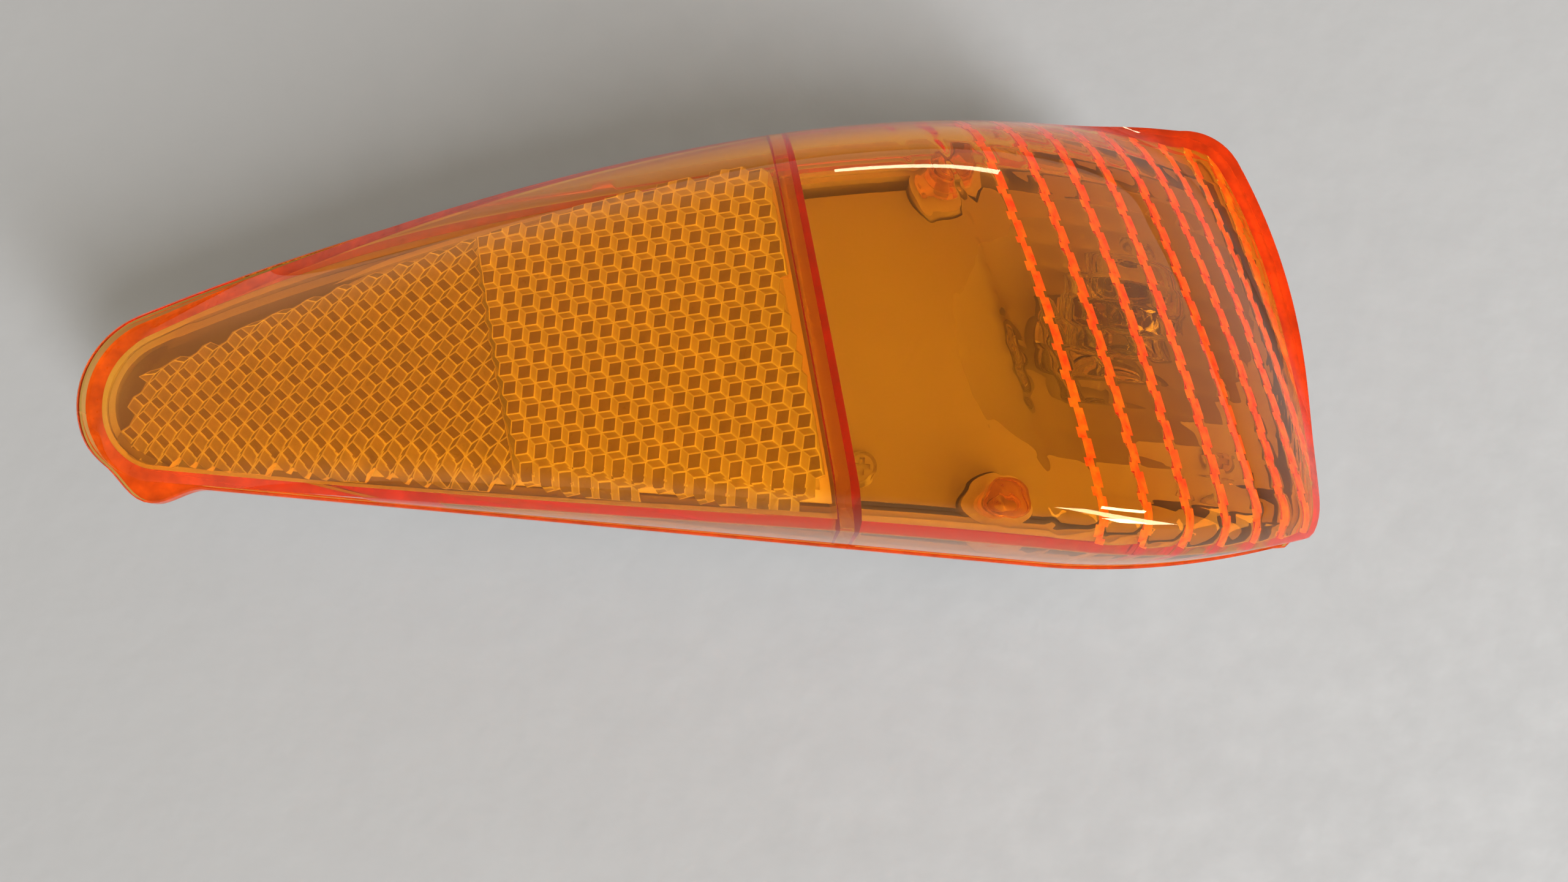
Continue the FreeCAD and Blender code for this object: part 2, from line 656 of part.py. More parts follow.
def socket_shell():
    """Steel barrel with two bayonet slots, open at its mouth."""
    x, y = BULB
    shell = tube(x, y, SOCKET_LOW_Z, SOCKET_RADIUS, SOCKET_BORE, SOCKET_TOP_Z - SOCKET_LOW_Z)
    low = PIN_Z - PRESS_TRAVEL - PIN_RADIUS - 0.2
    high = PIN_Z + PIN_RADIUS + 0.2
    along = (-SLOT_HALF_ANGLE, BULB_TURN + 2 * SLOT_HALF_ANGLE, high)
    inward = (BULB_TURN - SLOT_HALF_ANGLE, 2 * SLOT_HALF_ANGLE, FAR)
    for side in (0, 180):
        for start, sweep, top in (along, inward):
            slot = Part.makeCylinder(
                SOCKET_RADIUS + 1, top - low, Vector(0, 0, low), Vector(0, 0, 1), sweep
            )
            slot = slot.rotated(Vector(0, 0, 0), Vector(0, 0, 1), start + side)
            shell = shell.cut(slot.translated(Vector(x, y, 0)))
    return shell


def contact_carrier():
    carrier = disc(*BULB, CARRIER_LOW_Z, SOCKET_BORE - 0.1, CARRIER_TOP_Z - CARRIER_LOW_Z)
    guide = disc(*BULB, CARRIER_LOW_Z - 1.6, SPRING_RADIUS - SPRING_WIRE - 0.25, 1.6)
    return carrier.fuse(guide).cut(disc(*BULB, 0, 1.25, FAR))


def contact_plunger():
    profile = [(0, CARRIER_LOW_Z - 1.6), (1.2, CARRIER_LOW_Z - 1.6), (1.2, CARRIER_TOP_Z),
               (2.7, CARRIER_TOP_Z), (2.7, CONTACT_Z - 0.35), (2.2, CONTACT_Z), (0, CONTACT_Z)]
    return revolve(profile, *BULB)


def contact_spring():
    low = HOLDER_FLOOR_Z + TERMINAL_THICKNESS + SPRING_WIRE
    height = CARRIER_LOW_Z - SPRING_WIRE - 0.05 - low
    helix = Part.makeHelix(height / SPRING_TURNS, height, SPRING_RADIUS)
    circle = Part.Circle(Vector(SPRING_RADIUS, 0, 0), Vector(0, 1, 0), SPRING_WIRE)
    profile = Part.Wire([circle.toShape()])
    spring = Part.Wire(helix).makePipeShell([profile], True, True)
    return spring.translated(Vector(BULB[0], BULB[1], low))


def along_wires(shape):
    """Shape drawn along +X at the origin, laid along the wires from the bulb's axis."""
    shape = shape.rotated(Vector(0, 0, 0), Vector(0, 0, 1), WIRE_ANGLE)
    return shape.translated(Vector(BULB[0], BULB[1], 0))


def live_terminal():
    ring = tube(*BULB, HOLDER_FLOOR_Z, 6.4, 1.6, TERMINAL_THICKNESS)
    return ring.fuse(live_path(0.0)).removeSplitter()


def ground_terminal():
    return ground_path(0.0)


def wire(offset):
    """Insulated wire from under the holder to the plug."""
    length = WIRE_END - WIRE_START
    rod = Part.makeCylinder(WIRE_RADIUS, length, Vector(WIRE_START, offset, WIRE_Z), Vector(1, 0, 0))
    return along_wires(rod)


def wire_sleeve():
    start = BOOT_RADIUS + 2.0
    end = WIRE_END - 4.0
    outer = Part.makeCylinder(SLEEVE_RADIUS, end - start, Vector(start, 0, WIRE_Z), Vector(1, 0, 0))
    inner = Part.makeCylinder(SLEEVE_BORE, end - start + 2, Vector(start - 1, 0, WIRE_Z), Vector(1, 0, 0))
    return along_wires(outer.cut(inner))


def wire_boot():
    """Rubber boot over the back of the holder, with an outlet round the wires."""
    body = revolve(
        [(0, BOOT_LOW_Z), (BOOT_RADIUS - 1.5, BOOT_LOW_Z), (BOOT_RADIUS, BOOT_LOW_Z + 1.5),
         (BOOT_RADIUS, HOLDER_BACK_Z), (0, HOLDER_BACK_Z)], *BULB
    )
    outlet = Part.makeCylinder(2.6, 4.0, Vector(BOOT_RADIUS - 2.2, 0, WIRE_Z), Vector(1, 0, 0))
    body = body.fuse(along_wires(outlet))
    hollow = disc(*BULB, BOOT_LOW_Z + 0.7, BOOT_RADIUS - 1.4, FAR)
    channel = Part.makeCylinder(SLEEVE_BORE, 20.0, Vector(2.0, 0, WIRE_Z), Vector(1, 0, 0))
    return body.cut(hollow).cut(along_wires(channel)).removeSplitter()


def plug_shell():
    """Two-way plug: block with an open front, two wire holes and a latch on its back."""
    x0 = WIRE_END - 3.0
    block = Part.makeBox(PLUG_LENGTH, PLUG_WIDTH, PLUG_HEIGHT, Vector(x0, -PLUG_WIDTH / 2, PLUG_LOW_Z))
    block = block.makeFillet(1.0, [e for e in block.Edges if abs(e.tangentAt(0).x) > 0.9])
    mouth = Part.makeBox(12.0, PLUG_WIDTH - 2.8, PLUG_HEIGHT - 2.8,
                         Vector(x0 + PLUG_LENGTH - 11.0, -PLUG_WIDTH / 2 + 1.4, PLUG_LOW_Z + 1.4))
    latch = Part.makeBox(9.0, 4.0, 1.4, Vector(x0 + 8.0, -2.0, PLUG_LOW_Z + PLUG_HEIGHT))
    catch = Part.makeBox(1.6, 4.0, 1.0, Vector(x0 + 15.4, -2.0, PLUG_LOW_Z + PLUG_HEIGHT + 1.4))
    shape = block.fuse(latch).fuse(catch).cut(mouth)
    for side in (-1, 1):
        shape = shape.cut(Part.makeCylinder(
            WIRE_RADIUS + 0.05, 5.0, Vector(x0 - 1, side * WIRE_SPREAD, WIRE_Z), Vector(1, 0, 0)))
        shape = shape.cut(blade(x0, side, 0.05))
    return along_wires(shape.removeSplitter())


def blade(x0, side, play):
    """Blade contact of the plug."""
    middle_z = PLUG_LOW_Z + PLUG_HEIGHT / 2
    corner = Vector(x0 + 4.3, side * 2.6 - 1.0 - play, middle_z - 0.4 - play)
    return Part.makeBox(14.0, 2.0 + 2 * play, 0.8 + 2 * play, corner)


def plug_terminals():
    x0 = WIRE_END - 3.0
    return Part.makeCompound([along_wires(blade(x0, side, 0.0)) for side in (-1, 1)])


def bulb_cap():
    profile = [(5.6, CAP_LOW_Z), (6.6, CAP_LOW_Z), (CAP_RADIUS, CAP_LOW_Z + 0.9),
               (CAP_RADIUS, CAP_TOP_Z), (CAP_RADIUS - 0.4, CAP_TOP_Z), (CAP_RADIUS - 0.4, CAP_LOW_Z + 1.1),
               (5.6, CAP_LOW_Z + 0.6)]
    return revolve(profile, *BULB)


def bulb_pins():
    pins = []
    for angle in (0, 180):
        pin = Part.makeCylinder(PIN_RADIUS, 2.2, Vector(6.6, 0, PIN_Z), Vector(1, 0, 0))
        pin = pin.cut(Part.makeCylinder(CAP_RADIUS + 0.005, FAR))
        pin = pin.rotated(Vector(0, 0, 0), Vector(0, 0, 1), angle)
        pins.append(pin.translated(Vector(BULB[0], BULB[1], 0)))
    return Part.makeCompound(pins)


def bulb_insulator():
    profile = [(2.3, CAP_LOW_Z - 0.7), (3.4, CAP_LOW_Z - 0.7), (5.55, CAP_LOW_Z + 0.1),
               (5.55, CAP_LOW_Z + 1.6), (2.3, CAP_LOW_Z + 1.6)]
    return revolve(profile, *BULB)


def bulb_contact():
    profile = [(0, CONTACT_Z), (1.7, CONTACT_Z), (2.25, CONTACT_Z + 0.5), (2.25, CAP_LOW_Z + 1.0),
               (0, CAP_LOW_Z + 1.0)]
    return revolve(profile, *BULB)


def glass_profile(shrink):
    """Bulb outline as (radius, z) from the neck to the top."""
    ball = GLASS_RADIUS - shrink
    neck = NECK_RADIUS - shrink
    start = math.asin(neck / ball)
    steps = 18
    points = []
    for i in range(steps + 1):
        angle = math.pi - start - (math.pi - start) * i / steps
        radius = ball * math.sin(angle) if i < steps else 0.0
        points.append((radius, GLASS_CENTRE_Z + ball * math.cos(angle)))
    return points


def bulb_glass():
    low = CAP_TOP_Z - 4.0
    outer = revolve([(0, low), (NECK_RADIUS, low)] + glass_profile(0.0), *BULB)
    inner_neck = NECK_RADIUS - GLASS_THICKNESS
    inner = revolve([(0, low - 1), (inner_neck, low - 1)] + glass_profile(GLASS_THICKNESS), *BULB)
    return outer.cut(inner)


def bulb_stem():
    low = CAP_TOP_Z - 4.0
    profile = [(0, low), (5.9, low), (5.9, low + 0.7), (2.6, low + 2.0), (1.9, low + 4.0),
               (1.7, low + 7.6), (1.0, low + 8.2), (0, low + 8.2)]
    return revolve(profile, *BULB)


def bulb_support_wires():
    wires = []
    base = CAP_TOP_Z + 4.2
    for side in (-1, 1):
        start = Vector(BULB[0] + side * 0.9, BULB[1], base)
        end = Vector(BULB[0] + side * 4.0, BULB[1], FILAMENT_Z)
        wires.append(Part.makeCylinder(0.25, (end - start).Length, start, end - start))
    return Part.makeCompound(wires)


def bulb_filament():
    """Coil between the two support wires, of fine wire with eight flats."""
    sides = 8
    corners = []
    for i in range(sides + 1):
        angle = 2 * math.pi * i / sides
        across = COIL_RADIUS + COIL_WIRE * math.cos(angle)
        corners.append(Vector(across, 0, COIL_WIRE * math.sin(angle)))
    helix = Part.makeHelix(COIL_LENGTH / COIL_TURNS, COIL_LENGTH, COIL_RADIUS)
    coil = Part.Wire(helix).makePipeShell([Part.makePolygon(corners)], True, True)
    coil = coil.rotated(Vector(0, 0, 0), Vector(0, 1, 0), 90)
    return coil.translated(Vector(BULB[0] - COIL_LENGTH / 2, BULB[1], FILAMENT_Z + 0.9))


os.makedirs("parts", exist_ok=True)
save("outer_lens", outer_lens())
save("reflex_reflector", reflex_panel())
save("reflex_back_plate", reflex_back_plate())
save("housing", housing())
save("lens_gasket", lens_gasket())
save("bulb_reflector", bulb_reflector())
save("reflector_screws", bowl_screws())
save("lens_screws", lens_screws())
save("lens_screw_washers", lens_screw_washers())
save("mount_inserts", mount_inserts())
save("vent_cap", vent_cap())
save("bulb_holder", bulb_holder())
save("holder_seal", holder_seal())
save("socket_shell", socket_shell())
save("contact_carrier", contact_carrier())
save("contact_plunger", contact_plunger())
save("contact_spring", contact_spring())
save("live_terminal", live_terminal())
save("ground_terminal", ground_terminal())
save("live_wire", wire(WIRE_SPREAD))
save("ground_wire", wire(-WIRE_SPREAD))
save("wire_sleeve", wire_sleeve())
save("wire_boot", wire_boot())
save("plug_shell", plug_shell())
save("plug_terminals", plug_terminals())
save("bulb_glass", bulb_glass())
save("bulb_cap", bulb_cap())
save("bulb_pins", bulb_pins())
save("bulb_insulator", bulb_insulator())
save("bulb_contact", bulb_contact())
save("bulb_stem", bulb_stem())
save("bulb_support_wires", bulb_support_wires())
save("bulb_filament", bulb_filament())
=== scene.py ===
import json
import math

import bpy
import numpy as np
from mathutils import Matrix, Vector


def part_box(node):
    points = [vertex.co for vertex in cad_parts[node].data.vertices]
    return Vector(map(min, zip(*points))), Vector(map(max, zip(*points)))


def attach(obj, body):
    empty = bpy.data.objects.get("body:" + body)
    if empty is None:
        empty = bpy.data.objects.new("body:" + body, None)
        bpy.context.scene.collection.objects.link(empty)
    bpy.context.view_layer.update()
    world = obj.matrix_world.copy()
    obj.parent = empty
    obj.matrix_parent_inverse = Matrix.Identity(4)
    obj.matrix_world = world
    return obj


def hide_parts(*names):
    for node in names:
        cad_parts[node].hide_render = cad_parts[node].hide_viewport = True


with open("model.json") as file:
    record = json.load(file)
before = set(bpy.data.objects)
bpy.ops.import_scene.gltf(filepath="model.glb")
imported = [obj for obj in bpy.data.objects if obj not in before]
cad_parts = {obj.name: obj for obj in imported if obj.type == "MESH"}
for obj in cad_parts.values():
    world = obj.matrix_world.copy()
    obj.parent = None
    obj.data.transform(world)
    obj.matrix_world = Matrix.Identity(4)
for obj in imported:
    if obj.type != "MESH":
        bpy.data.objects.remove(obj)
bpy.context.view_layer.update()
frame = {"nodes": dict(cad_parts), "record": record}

NODES = frame["nodes"]
MM = 0.001

# ---------------------------------------------------------------- lens shape, in millimetres
RIM_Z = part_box("lens_gasket")[1][2] / MM
SEAT_GAP = 0.06

TOP_END = (75.0, 36.0)
TOP_SWEEP = 16.0
TOP_SWEEP_LENGTH = 100.0
NOSE_TOP_X = -92.0
NOSE_TIP = (-98.7, -21.0)
NOSE_BOTTOM = (-86.5, -34.3)
BOTTOM_BEND = (58.0, -35.6)
BOTTOM_BOW = (78.0, -33.7)
WIDE_CORNER = (95.6, -29.0)
WIDE_MIDDLE = (96.6, -6.0)
WIDE_TOP = (85.0, 31.0)
CORNER_ROUND = (81.6, 34.7)
TONGUE_DROP = 3.4
TONGUE_MIDDLE = 1.5
TONGUE_HALF_WIDTH = 8.0

CROWN_HEIGHT = 38.0
SLANT = 0.255
APEX_Q = 40.0
WIDE_END_RADIUS = 65.0
WIDE_END_REACH = 56.0
SHOULDER_Q = 10.0
FACE_SLOPE = 0.28
CROSS_RADIUS = 200.0
CROSS_TOP_Y = -45.0
TOP_ROLL_WIDTH = 18.0
TOP_ROLL_DROP = 0.55
BOTTOM_ROLL_WIDTH = 7.0
BOTTOM_ROLL_WIDENING = 5.0
BOTTOM_ROLL_DROP = 0.25
BOTTOM_ROLL_NOSE_DROP = 0.2
ROLL_PAST_EDGE = 0.12
NOSE_ROLL_WIDTH = 13.0
NOSE_ROLL_DROP = 0.5
LOWEST_CROWN = 1.0
END_WALL_HEIGHT = 7.0
END_WALL_START = 50.0
END_WALL_REACH = 30.0
END_WALL_BLEND = 4.0
LENS_WALL = 2.4
LIP_WIDTH = 1.0
LIP_HEIGHT = 2.2
LOWER_LIP_WIDTH = 0.45
LIP_SLIM_FROM = 0.6
LIP_SLIM_REACH = 0.35
LIP_BEVEL = 0.3
SEAT_BEVEL = 0.2
LOWEST_INSIDE = 0.15

DIVIDER_Q = 17.0
DIVIDER_THICKNESS = 3.2
DIVIDER_DRAFT = 0.14
DIVIDER_SKIN = 0.6
DIVIDER_FOOT = 0.3
CORE_ROOF = 3.5
DIVIDER_FOOT_REACH = 0.4
SEAT_REACH = 0.1
SEAT_NORMAL = -0.7

FLUTE_PITCH = 6.5
FLUTE_START = 10.0
FAINT_FLUTES = 3
FULL_DEPTH_FLUTE = FAINT_FLUTES + 2.0
CLEAR_FLUTES = 9
LAST_FLUTE_WIDTH = 3.6
PILLOWS_START = 2
PILLOWS_FULL = 5
FLUTE_DEPTH = 1.8
FLUTE_DRAFT = 1.8
PILLOW_PITCH = 4.0
PILLOW_DEPTH = 0.32
FLUTE_BOW = 0.001
BOW_START = 20.0
BOW_REACH = 25.0
BOW_LOW_Y = -36.0
RISER_STEPS = 4
RISER_WAVE = 0.45
# Risers from this one on get the painted red light and glints.
FIRST_PAINTED_RISER = 3

LENS_ROWS = 190
ROW_CROWDING = 0.45
STATION_STEP = 0.9
NOSE_STATIONS = 12.0
WIDE_STATIONS = 7.0
END_STATIONS = 18
FILLER_GAP = 0.35
TAIL_GAP = 0.2
END_GAP = 0.3

PRISM_PITCH = 3.2
CUBE_EDGE = PRISM_PITCH / math.sqrt(2)
CELL_SIDE = PRISM_PITCH / math.sqrt(3)
PRISM_ANGLE = -10.0
PANEL_DEPTH = 2.55
PRISM_BASE_DEPTH = 3.25
FIELD_INSET = 0.6
FIELD_TOP_MARGIN = 9.5
FIELD_DEPTH = 6.0
FIELD_LOWEST = -3.6
RIGHT_TILT = (0.3, -0.16)
LEFT_TILT = (0.3, -0.1)
RIGHT_TURN = 80.0
LEFT_TURN = 20.0
FIELD_MIDDLE = (-42.0, -10.0, 0.0)
FIELD_CELLS = 60
FIELD_SPLIT = (-33.0, 0.0, -0.32)  # a place on the line, and how far x leans per unit of y
FIELD_END = DIVIDER_Q - DIVIDER_THICKNESS / 2 - 1.0
FIELD_GAP = 0.08
# Share of each prism face given to its border, which holds a painted glint.
GLINT_BORDER_SHARE = 0.15
VERTICES_PER_MM = 20

BOSS_RADIUS = 3.9
BOSS_BORE = 2.05
BOSS_FOOT = 0.3
BOSS_BEVEL = 0.25
BOSS_TAPER = 0.35
BOSS_END = 0.3
BOSS_ROUNDING = 0.4
BOSS_SHOULDER = 0.9
BOSS_TOP = 1.3
BOSS_FACETS = 40
BOSS_AXIS_RADIUS = 0.01
SCREW_APART = 8.0

# Material slots of the pieces that have several.
CLEAR_SLOT = 0
# The seat and riser slots hold opaque painted red light and glow.
SEAT_SLOT = 1
RISER_SLOT = 2
# Prism facet slots: painted shade and light.
RIGHT_SLOTS = (1, 3, 4)
LEFT_SLOTS = (2, 3, 2)
SIDE_SLOT = 3
# Painted glint along the borders of the prism faces.
PAINTED_GLINT_SLOT = 5


def smooth_step(share):
    return share * share * (3 - 2 * share)


def top_edge(x):
    return TOP_END[1] - TOP_SWEEP * ((TOP_END[0] - x) / TOP_SWEEP_LENGTH) ** 2


def bottom_edge(x):
    (x0, y0), (x1, y1), (x2, y2) = BOTTOM_BEND, BOTTOM_BOW, WIDE_CORNER
    straight = y0 + (x - x0) * (NOSE_BOTTOM[1] - y0) / (NOSE_BOTTOM[0] - x0)
    first = (y1 - y0) / (x1 - x0)
    second = ((y2 - y1) / (x2 - x1) - first) / (x2 - x0)
    bent = y0 + first * (x - x0) + second * (x - x0) * (x - x1)
    return np.where(x < x0, straight, bent)


def spine_height(q):
    """Height of the crown along the lens, where q is x read along its slanted cross-sections."""
    reach = APEX_Q - SHOULDER_Q
    rise = math.sqrt(WIDE_END_RADIUS**2 - WIDE_END_REACH**2)
    beyond = q - APEX_Q - WIDE_END_REACH
    falling = WIDE_END_RADIUS - rise + beyond * WIDE_END_REACH / rise
    near = np.clip(q - APEX_Q, 0, WIDE_END_REACH)
    rounded = WIDE_END_RADIUS - np.sqrt(WIDE_END_RADIUS**2 - near**2)
    shoulder = FACE_SLOPE * (APEX_Q - q) ** 2 / (2 * reach)
    straight = FACE_SLOPE * (reach / 2 + SHOULDER_Q - q)
    drop = np.where(q > SHOULDER_Q, shoulder, straight)
    drop = np.where(q > APEX_Q, rounded, drop)
    drop = np.where(beyond > 0, falling, drop)
    return CROWN_HEIGHT - drop


def roll(distance, width, drop):
    """Share of the height that is left beside an edge that rolls over."""
    near = np.maximum(0.0, 1 - np.maximum(distance, -ROLL_PAST_EDGE * width) / width)
    return 1 - drop * near**3


def crown_height(x, y):
    """Height of the lens's outer face above the rim."""
    height = spine_height(x + SLANT * y) - (y - CROSS_TOP_Y) ** 2 / (2 * CROSS_RADIUS)
    slope = 2 * TOP_SWEEP * (TOP_END[0] - x) / TOP_SWEEP_LENGTH**2
    across = (top_edge(x) - y) / np.hypot(1, slope)
    height = height * roll(across, TOP_ROLL_WIDTH, TOP_ROLL_DROP)
    nearness = np.clip((DIVIDER_Q - x) / (DIVIDER_Q - NOSE_TIP[0]), 0, 1)
    width = BOTTOM_ROLL_WIDTH + BOTTOM_ROLL_WIDENING * nearness
    drop = BOTTOM_ROLL_DROP + BOTTOM_ROLL_NOSE_DROP * nearness
    height = height * roll(y - bottom_edge(x), width, drop)
    height = height * roll(x - NOSE_TIP[0], NOSE_ROLL_WIDTH, NOSE_ROLL_DROP)
    share = smooth_step(np.clip((x + SLANT * y - END_WALL_START) / END_WALL_REACH, 0, 1))
    lowest = LOWEST_CROWN + (END_WALL_HEIGHT - LOWEST_CROWN) * share
    return (height + lowest + np.hypot(height - lowest, END_WALL_BLEND * share)) / 2


def crown_slope(x, y, step):
    slope_x = (crown_height(x + step, y) - crown_height(x - step, y)) / (2 * step)
    slope_y = (crown_height(x, y + step) - crown_height(x, y - step)) / (2 * step)
    return slope_x, slope_y


def wall_level(x, y, depth):
    """Height above the rim of a surface that lies a wall's depth under the outer face."""
    slope_x, slope_y = crown_slope(x, y, 0.05)
    return crown_height(x, y) - depth * np.sqrt(1 + slope_x**2 + slope_y**2)


def arc_points(a, b, c, step):
    """Points along the circle through three points, from a to c."""
    (ax, ay), (bx, by), (cx, cy) = a, b, c
    d = 2 * (ax * (by - cy) + bx * (cy - ay) + cx * (ay - by))
    a2, b2, c2 = ax**2 + ay**2, bx**2 + by**2, cx**2 + cy**2
    ux = (a2 * (by - cy) + b2 * (cy - ay) + c2 * (ay - by)) / d
    uy = (a2 * (cx - bx) + b2 * (ax - cx) + c2 * (bx - ax)) / d
    radius = math.hypot(ax - ux, ay - uy)
    start = math.atan2(ay - uy, ax - ux)
    turn = math.pi if d > 0 else -math.pi
    sweep = math.atan2(cy - uy, cx - ux) - start
    sweep = sweep % (2 * math.pi) if turn > 0 else -((-sweep) % (2 * math.pi))
    count = max(2, int(abs(sweep) * radius / step))
    angles = start + sweep * np.arange(count) / count
    return np.stack([ux + radius * np.cos(angles), uy + radius * np.sin(angles)], 1)


def lens_outline(step=0.5):
    """Closed plan outline of the lens wall, counter-clockwise."""
    nose_top = (NOSE_TOP_X, top_edge(NOSE_TOP_X))
    xs = np.linspace(TOP_END[0], NOSE_TOP_X, int((TOP_END[0] - NOSE_TOP_X) / step))[:-1]
    count = int((BOTTOM_BEND[0] - NOSE_BOTTOM[0]) / step)
    line = np.linspace(NOSE_BOTTOM, BOTTOM_BEND, count)[:-1]
    return np.concatenate([
        np.stack([xs, top_edge(xs)], 1),
        arc_points(nose_top, NOSE_TIP, NOSE_BOTTOM, step),
        line,
        arc_points(BOTTOM_BEND, BOTTOM_BOW, WIDE_CORNER, step),
        arc_points(WIDE_CORNER, WIDE_MIDDLE, WIDE_TOP, step),
        arc_points(WIDE_TOP, CORNER_ROUND, TOP_END, step),
    ])


def inset(poly, distance):
    """Closed outline moved inwards, without the loops that sharp corners would leave."""
    ahead = np.roll(poly, -1, 0) - np.roll(poly, 1, 0)
    normal = np.stack([-ahead[:, 1], ahead[:, 0]], 1)
    normal /= np.linalg.norm(normal, axis=1)[:, None]
    moved = poly + normal * distance
    gap = np.min(np.linalg.norm(moved[:, None] - poly[None], axis=2), axis=1)
    return moved[gap > abs(distance) - 0.06]


# The lens is meshed along stations of w, which follow the divider and the flutes.
def bow(w):
    """How strongly a station curves across the lens."""
    share = np.clip((w - BOW_START) / BOW_REACH, 0, 1)
    return FLUTE_BOW * smooth_step(share)


def station_x(w, y):
    return w - SLANT * y - bow(w) * (y - BOW_LOW_Y) ** 2


def station_of(x, y):
    q = x + SLANT * y
    w = q
    for _ in range(12):
        w = q + bow(w) * (y - BOW_LOW_Y) ** 2
    return w


def chains(poly):
    """Lower and upper halves of an outline, as functions y(w)."""
    w = station_of(poly[:, 0], poly[:, 1])
    first, last = int(np.argmin(w)), int(np.argmax(w))
    n = len(poly)
    lower = [(first + k) % n for k in range((last - first) % n + 1)]
    upper = [(first - k) % n for k in range((first - last) % n + 1)]
    halves = []
    for chain in (lower, upper):
        ws = np.maximum.accumulate(w[chain])
        ws = ws + np.arange(len(ws)) * 1e-7
        halves.append((ws, poly[chain, 1]))
    return halves, float(w[first]), float(w[last])


def flute_stations():
    """Places of the flute risers, evenly spaced along the curved face."""
    places = []
    start = math.asin(FLUTE_START / WIDE_END_RADIUS)
    for k in range(-FAINT_FLUTES, CLEAR_FLUTES):
        angle = start + k * FLUTE_PITCH / WIDE_END_RADIUS
        places.append(APEX_Q + WIDE_END_RADIUS * math.sin(angle))
    return places


FLUTES = flute_stations()


def pillow_rise(y):
    """Rise of the pillow rows, from 0 between two rows to 1 along the middle of one."""
    row = (y / PILLOW_PITCH) % 1.0
    return 1 - (2 * row - 1) ** 2


def flute_relief(w, y):
    """How far the fluted inside stands below the plain wall."""
    edges = np.array(FLUTES + [FLUTES[-1] + LAST_FLUTE_WIDTH])
    k = np.clip(np.searchsorted(edges, w, side="right") - 1, 0, len(edges) - 2)
    share = np.clip((w - edges[k]) / (edges[k + 1] - edges[k]), 0, 1)
    size = FLUTE_DEPTH * np.clip((k + 1) / FULL_DEPTH_FLUTE, 0, 1) ** 3
    pillow = PILLOW_DEPTH * pillow_rise(y)
    wave = RISER_WAVE * pillow_rise(y)
    entering = np.clip((w - edges[k] - wave) / (FLUTE_DRAFT - RISER_WAVE), 0, 1)
    saw = size * (1 - share) * entering
    start = FLUTES[PILLOWS_START]
    fade = np.clip((w - start) / (FLUTES[PILLOWS_FULL] - start), 0, 1)
    return np.where(w < edges[0], 0.0, saw + pillow * fade)


def mesh_object(name, verts, faces, sharp_angle=None):
    """Mesh from millimetres: flat faces, or smooth ones with edges sharp past an angle."""
    smooth = sharp_angle is not None
    mesh = bpy.data.meshes.new(name)
    mesh.from_pydata([tuple(v) for v in np.asarray(verts) * MM], [], faces)
    mesh.validate()
    mesh.polygons.foreach_set("use_smooth", [smooth] * len(mesh.polygons))
    if smooth:
        mesh.set_sharp_from_angle(angle=math.radians(sharp_angle))
    mesh.update()
    obj = bpy.data.objects.new(name, mesh)
    bpy.context.scene.collection.objects.link(obj)
    return obj


def grid_shares(count, crowd):
    """Shares from 0 to 1 that crowd together towards both ends."""
    share = np.linspace(0, 1, count)
    return share - crowd * np.sin(2 * math.pi * share) / (2 * math.pi)


def clear_of(places, fixed, gap):
    """The places that stay more than a gap away from every fixed one."""
    return [w for w in places if min(abs(w - f) for f in fixed) > gap]


def station_list(w_low, w_high):
    """Stations in order, with close pairs at the divider's sides and at each riser."""
    fixed = []
    for p in (DIVIDER_Q - DIVIDER_THICKNESS / 2, DIVIDER_Q + DIVIDER_THICKNESS / 2):
        fixed += [p, p + DIVIDER_DRAFT]
    core = DIVIDER_THICKNESS / 2 - DIVIDER_SKIN
    for p in (DIVIDER_Q - core, DIVIDER_Q + core):
        fixed += [p, p + math.copysign(DIVIDER_DRAFT, p - DIVIDER_Q)]
    for p in FLUTES:
        fixed += [p + FLUTE_DRAFT * k / RISER_STEPS for k in range(RISER_STEPS + 1)]
    cosine = (1 - np.cos(np.linspace(0, math.pi / 2, END_STATIONS)))
    left = w_low + NOSE_STATIONS * cosine
    right = w_high - WIDE_STATIONS * cosine[::-1]
    filler = clear_of(np.arange(left[-1], right[0], STATION_STEP), fixed, FILLER_GAP)
    tail = clear_of(right, fixed, TAIL_GAP)
    kept = [f for f in fixed if f < w_high - END_GAP]
    return np.array(sorted(list(left[:-1]) + filler + tail + kept))


def surface_grid(poly, stations, rows, level):
    """Grid of points over an outline: columns at stations of w, rows from lower to upper edge."""
    halves, low, high = chains(poly)
    blend_low = np.clip((stations - stations[0]) / NOSE_STATIONS, 0, 1)
    blend_high = np.clip((stations[-1] - stations) / WIDE_STATIONS, 0, 1)
    low_shift = (1 - blend_low) * (low - stations[0])
    high_shift = (1 - blend_high) * (high - stations[-1])
    ws = stations + low_shift + high_shift
    y_low = np.interp(ws, *halves[0])
    y_high = np.interp(ws, *halves[1])
    y = y_low[:, None] + (y_high - y_low)[:, None] * rows[None, :]
    w = np.repeat(ws[:, None], len(rows), 1)
    x = station_x(w, y)
    return x, y, level(x, y, w)


def on_riser(w, y):
    """Whether a place on the fluted inside belongs to one of the steep risers that get painted red
    light and glints.
    """
    edges = np.array(FLUTES)
    k = np.clip(np.searchsorted(edges, w, side="right") - 1, 0, len(edges) - 1)
    ahead = w - edges[k] - RISER_WAVE * pillow_rise(y)
    return (w > edges[FIRST_PAINTED_RISER]) & (ahead > 0) & (ahead < FLUTE_DRAFT - RISER_WAVE)


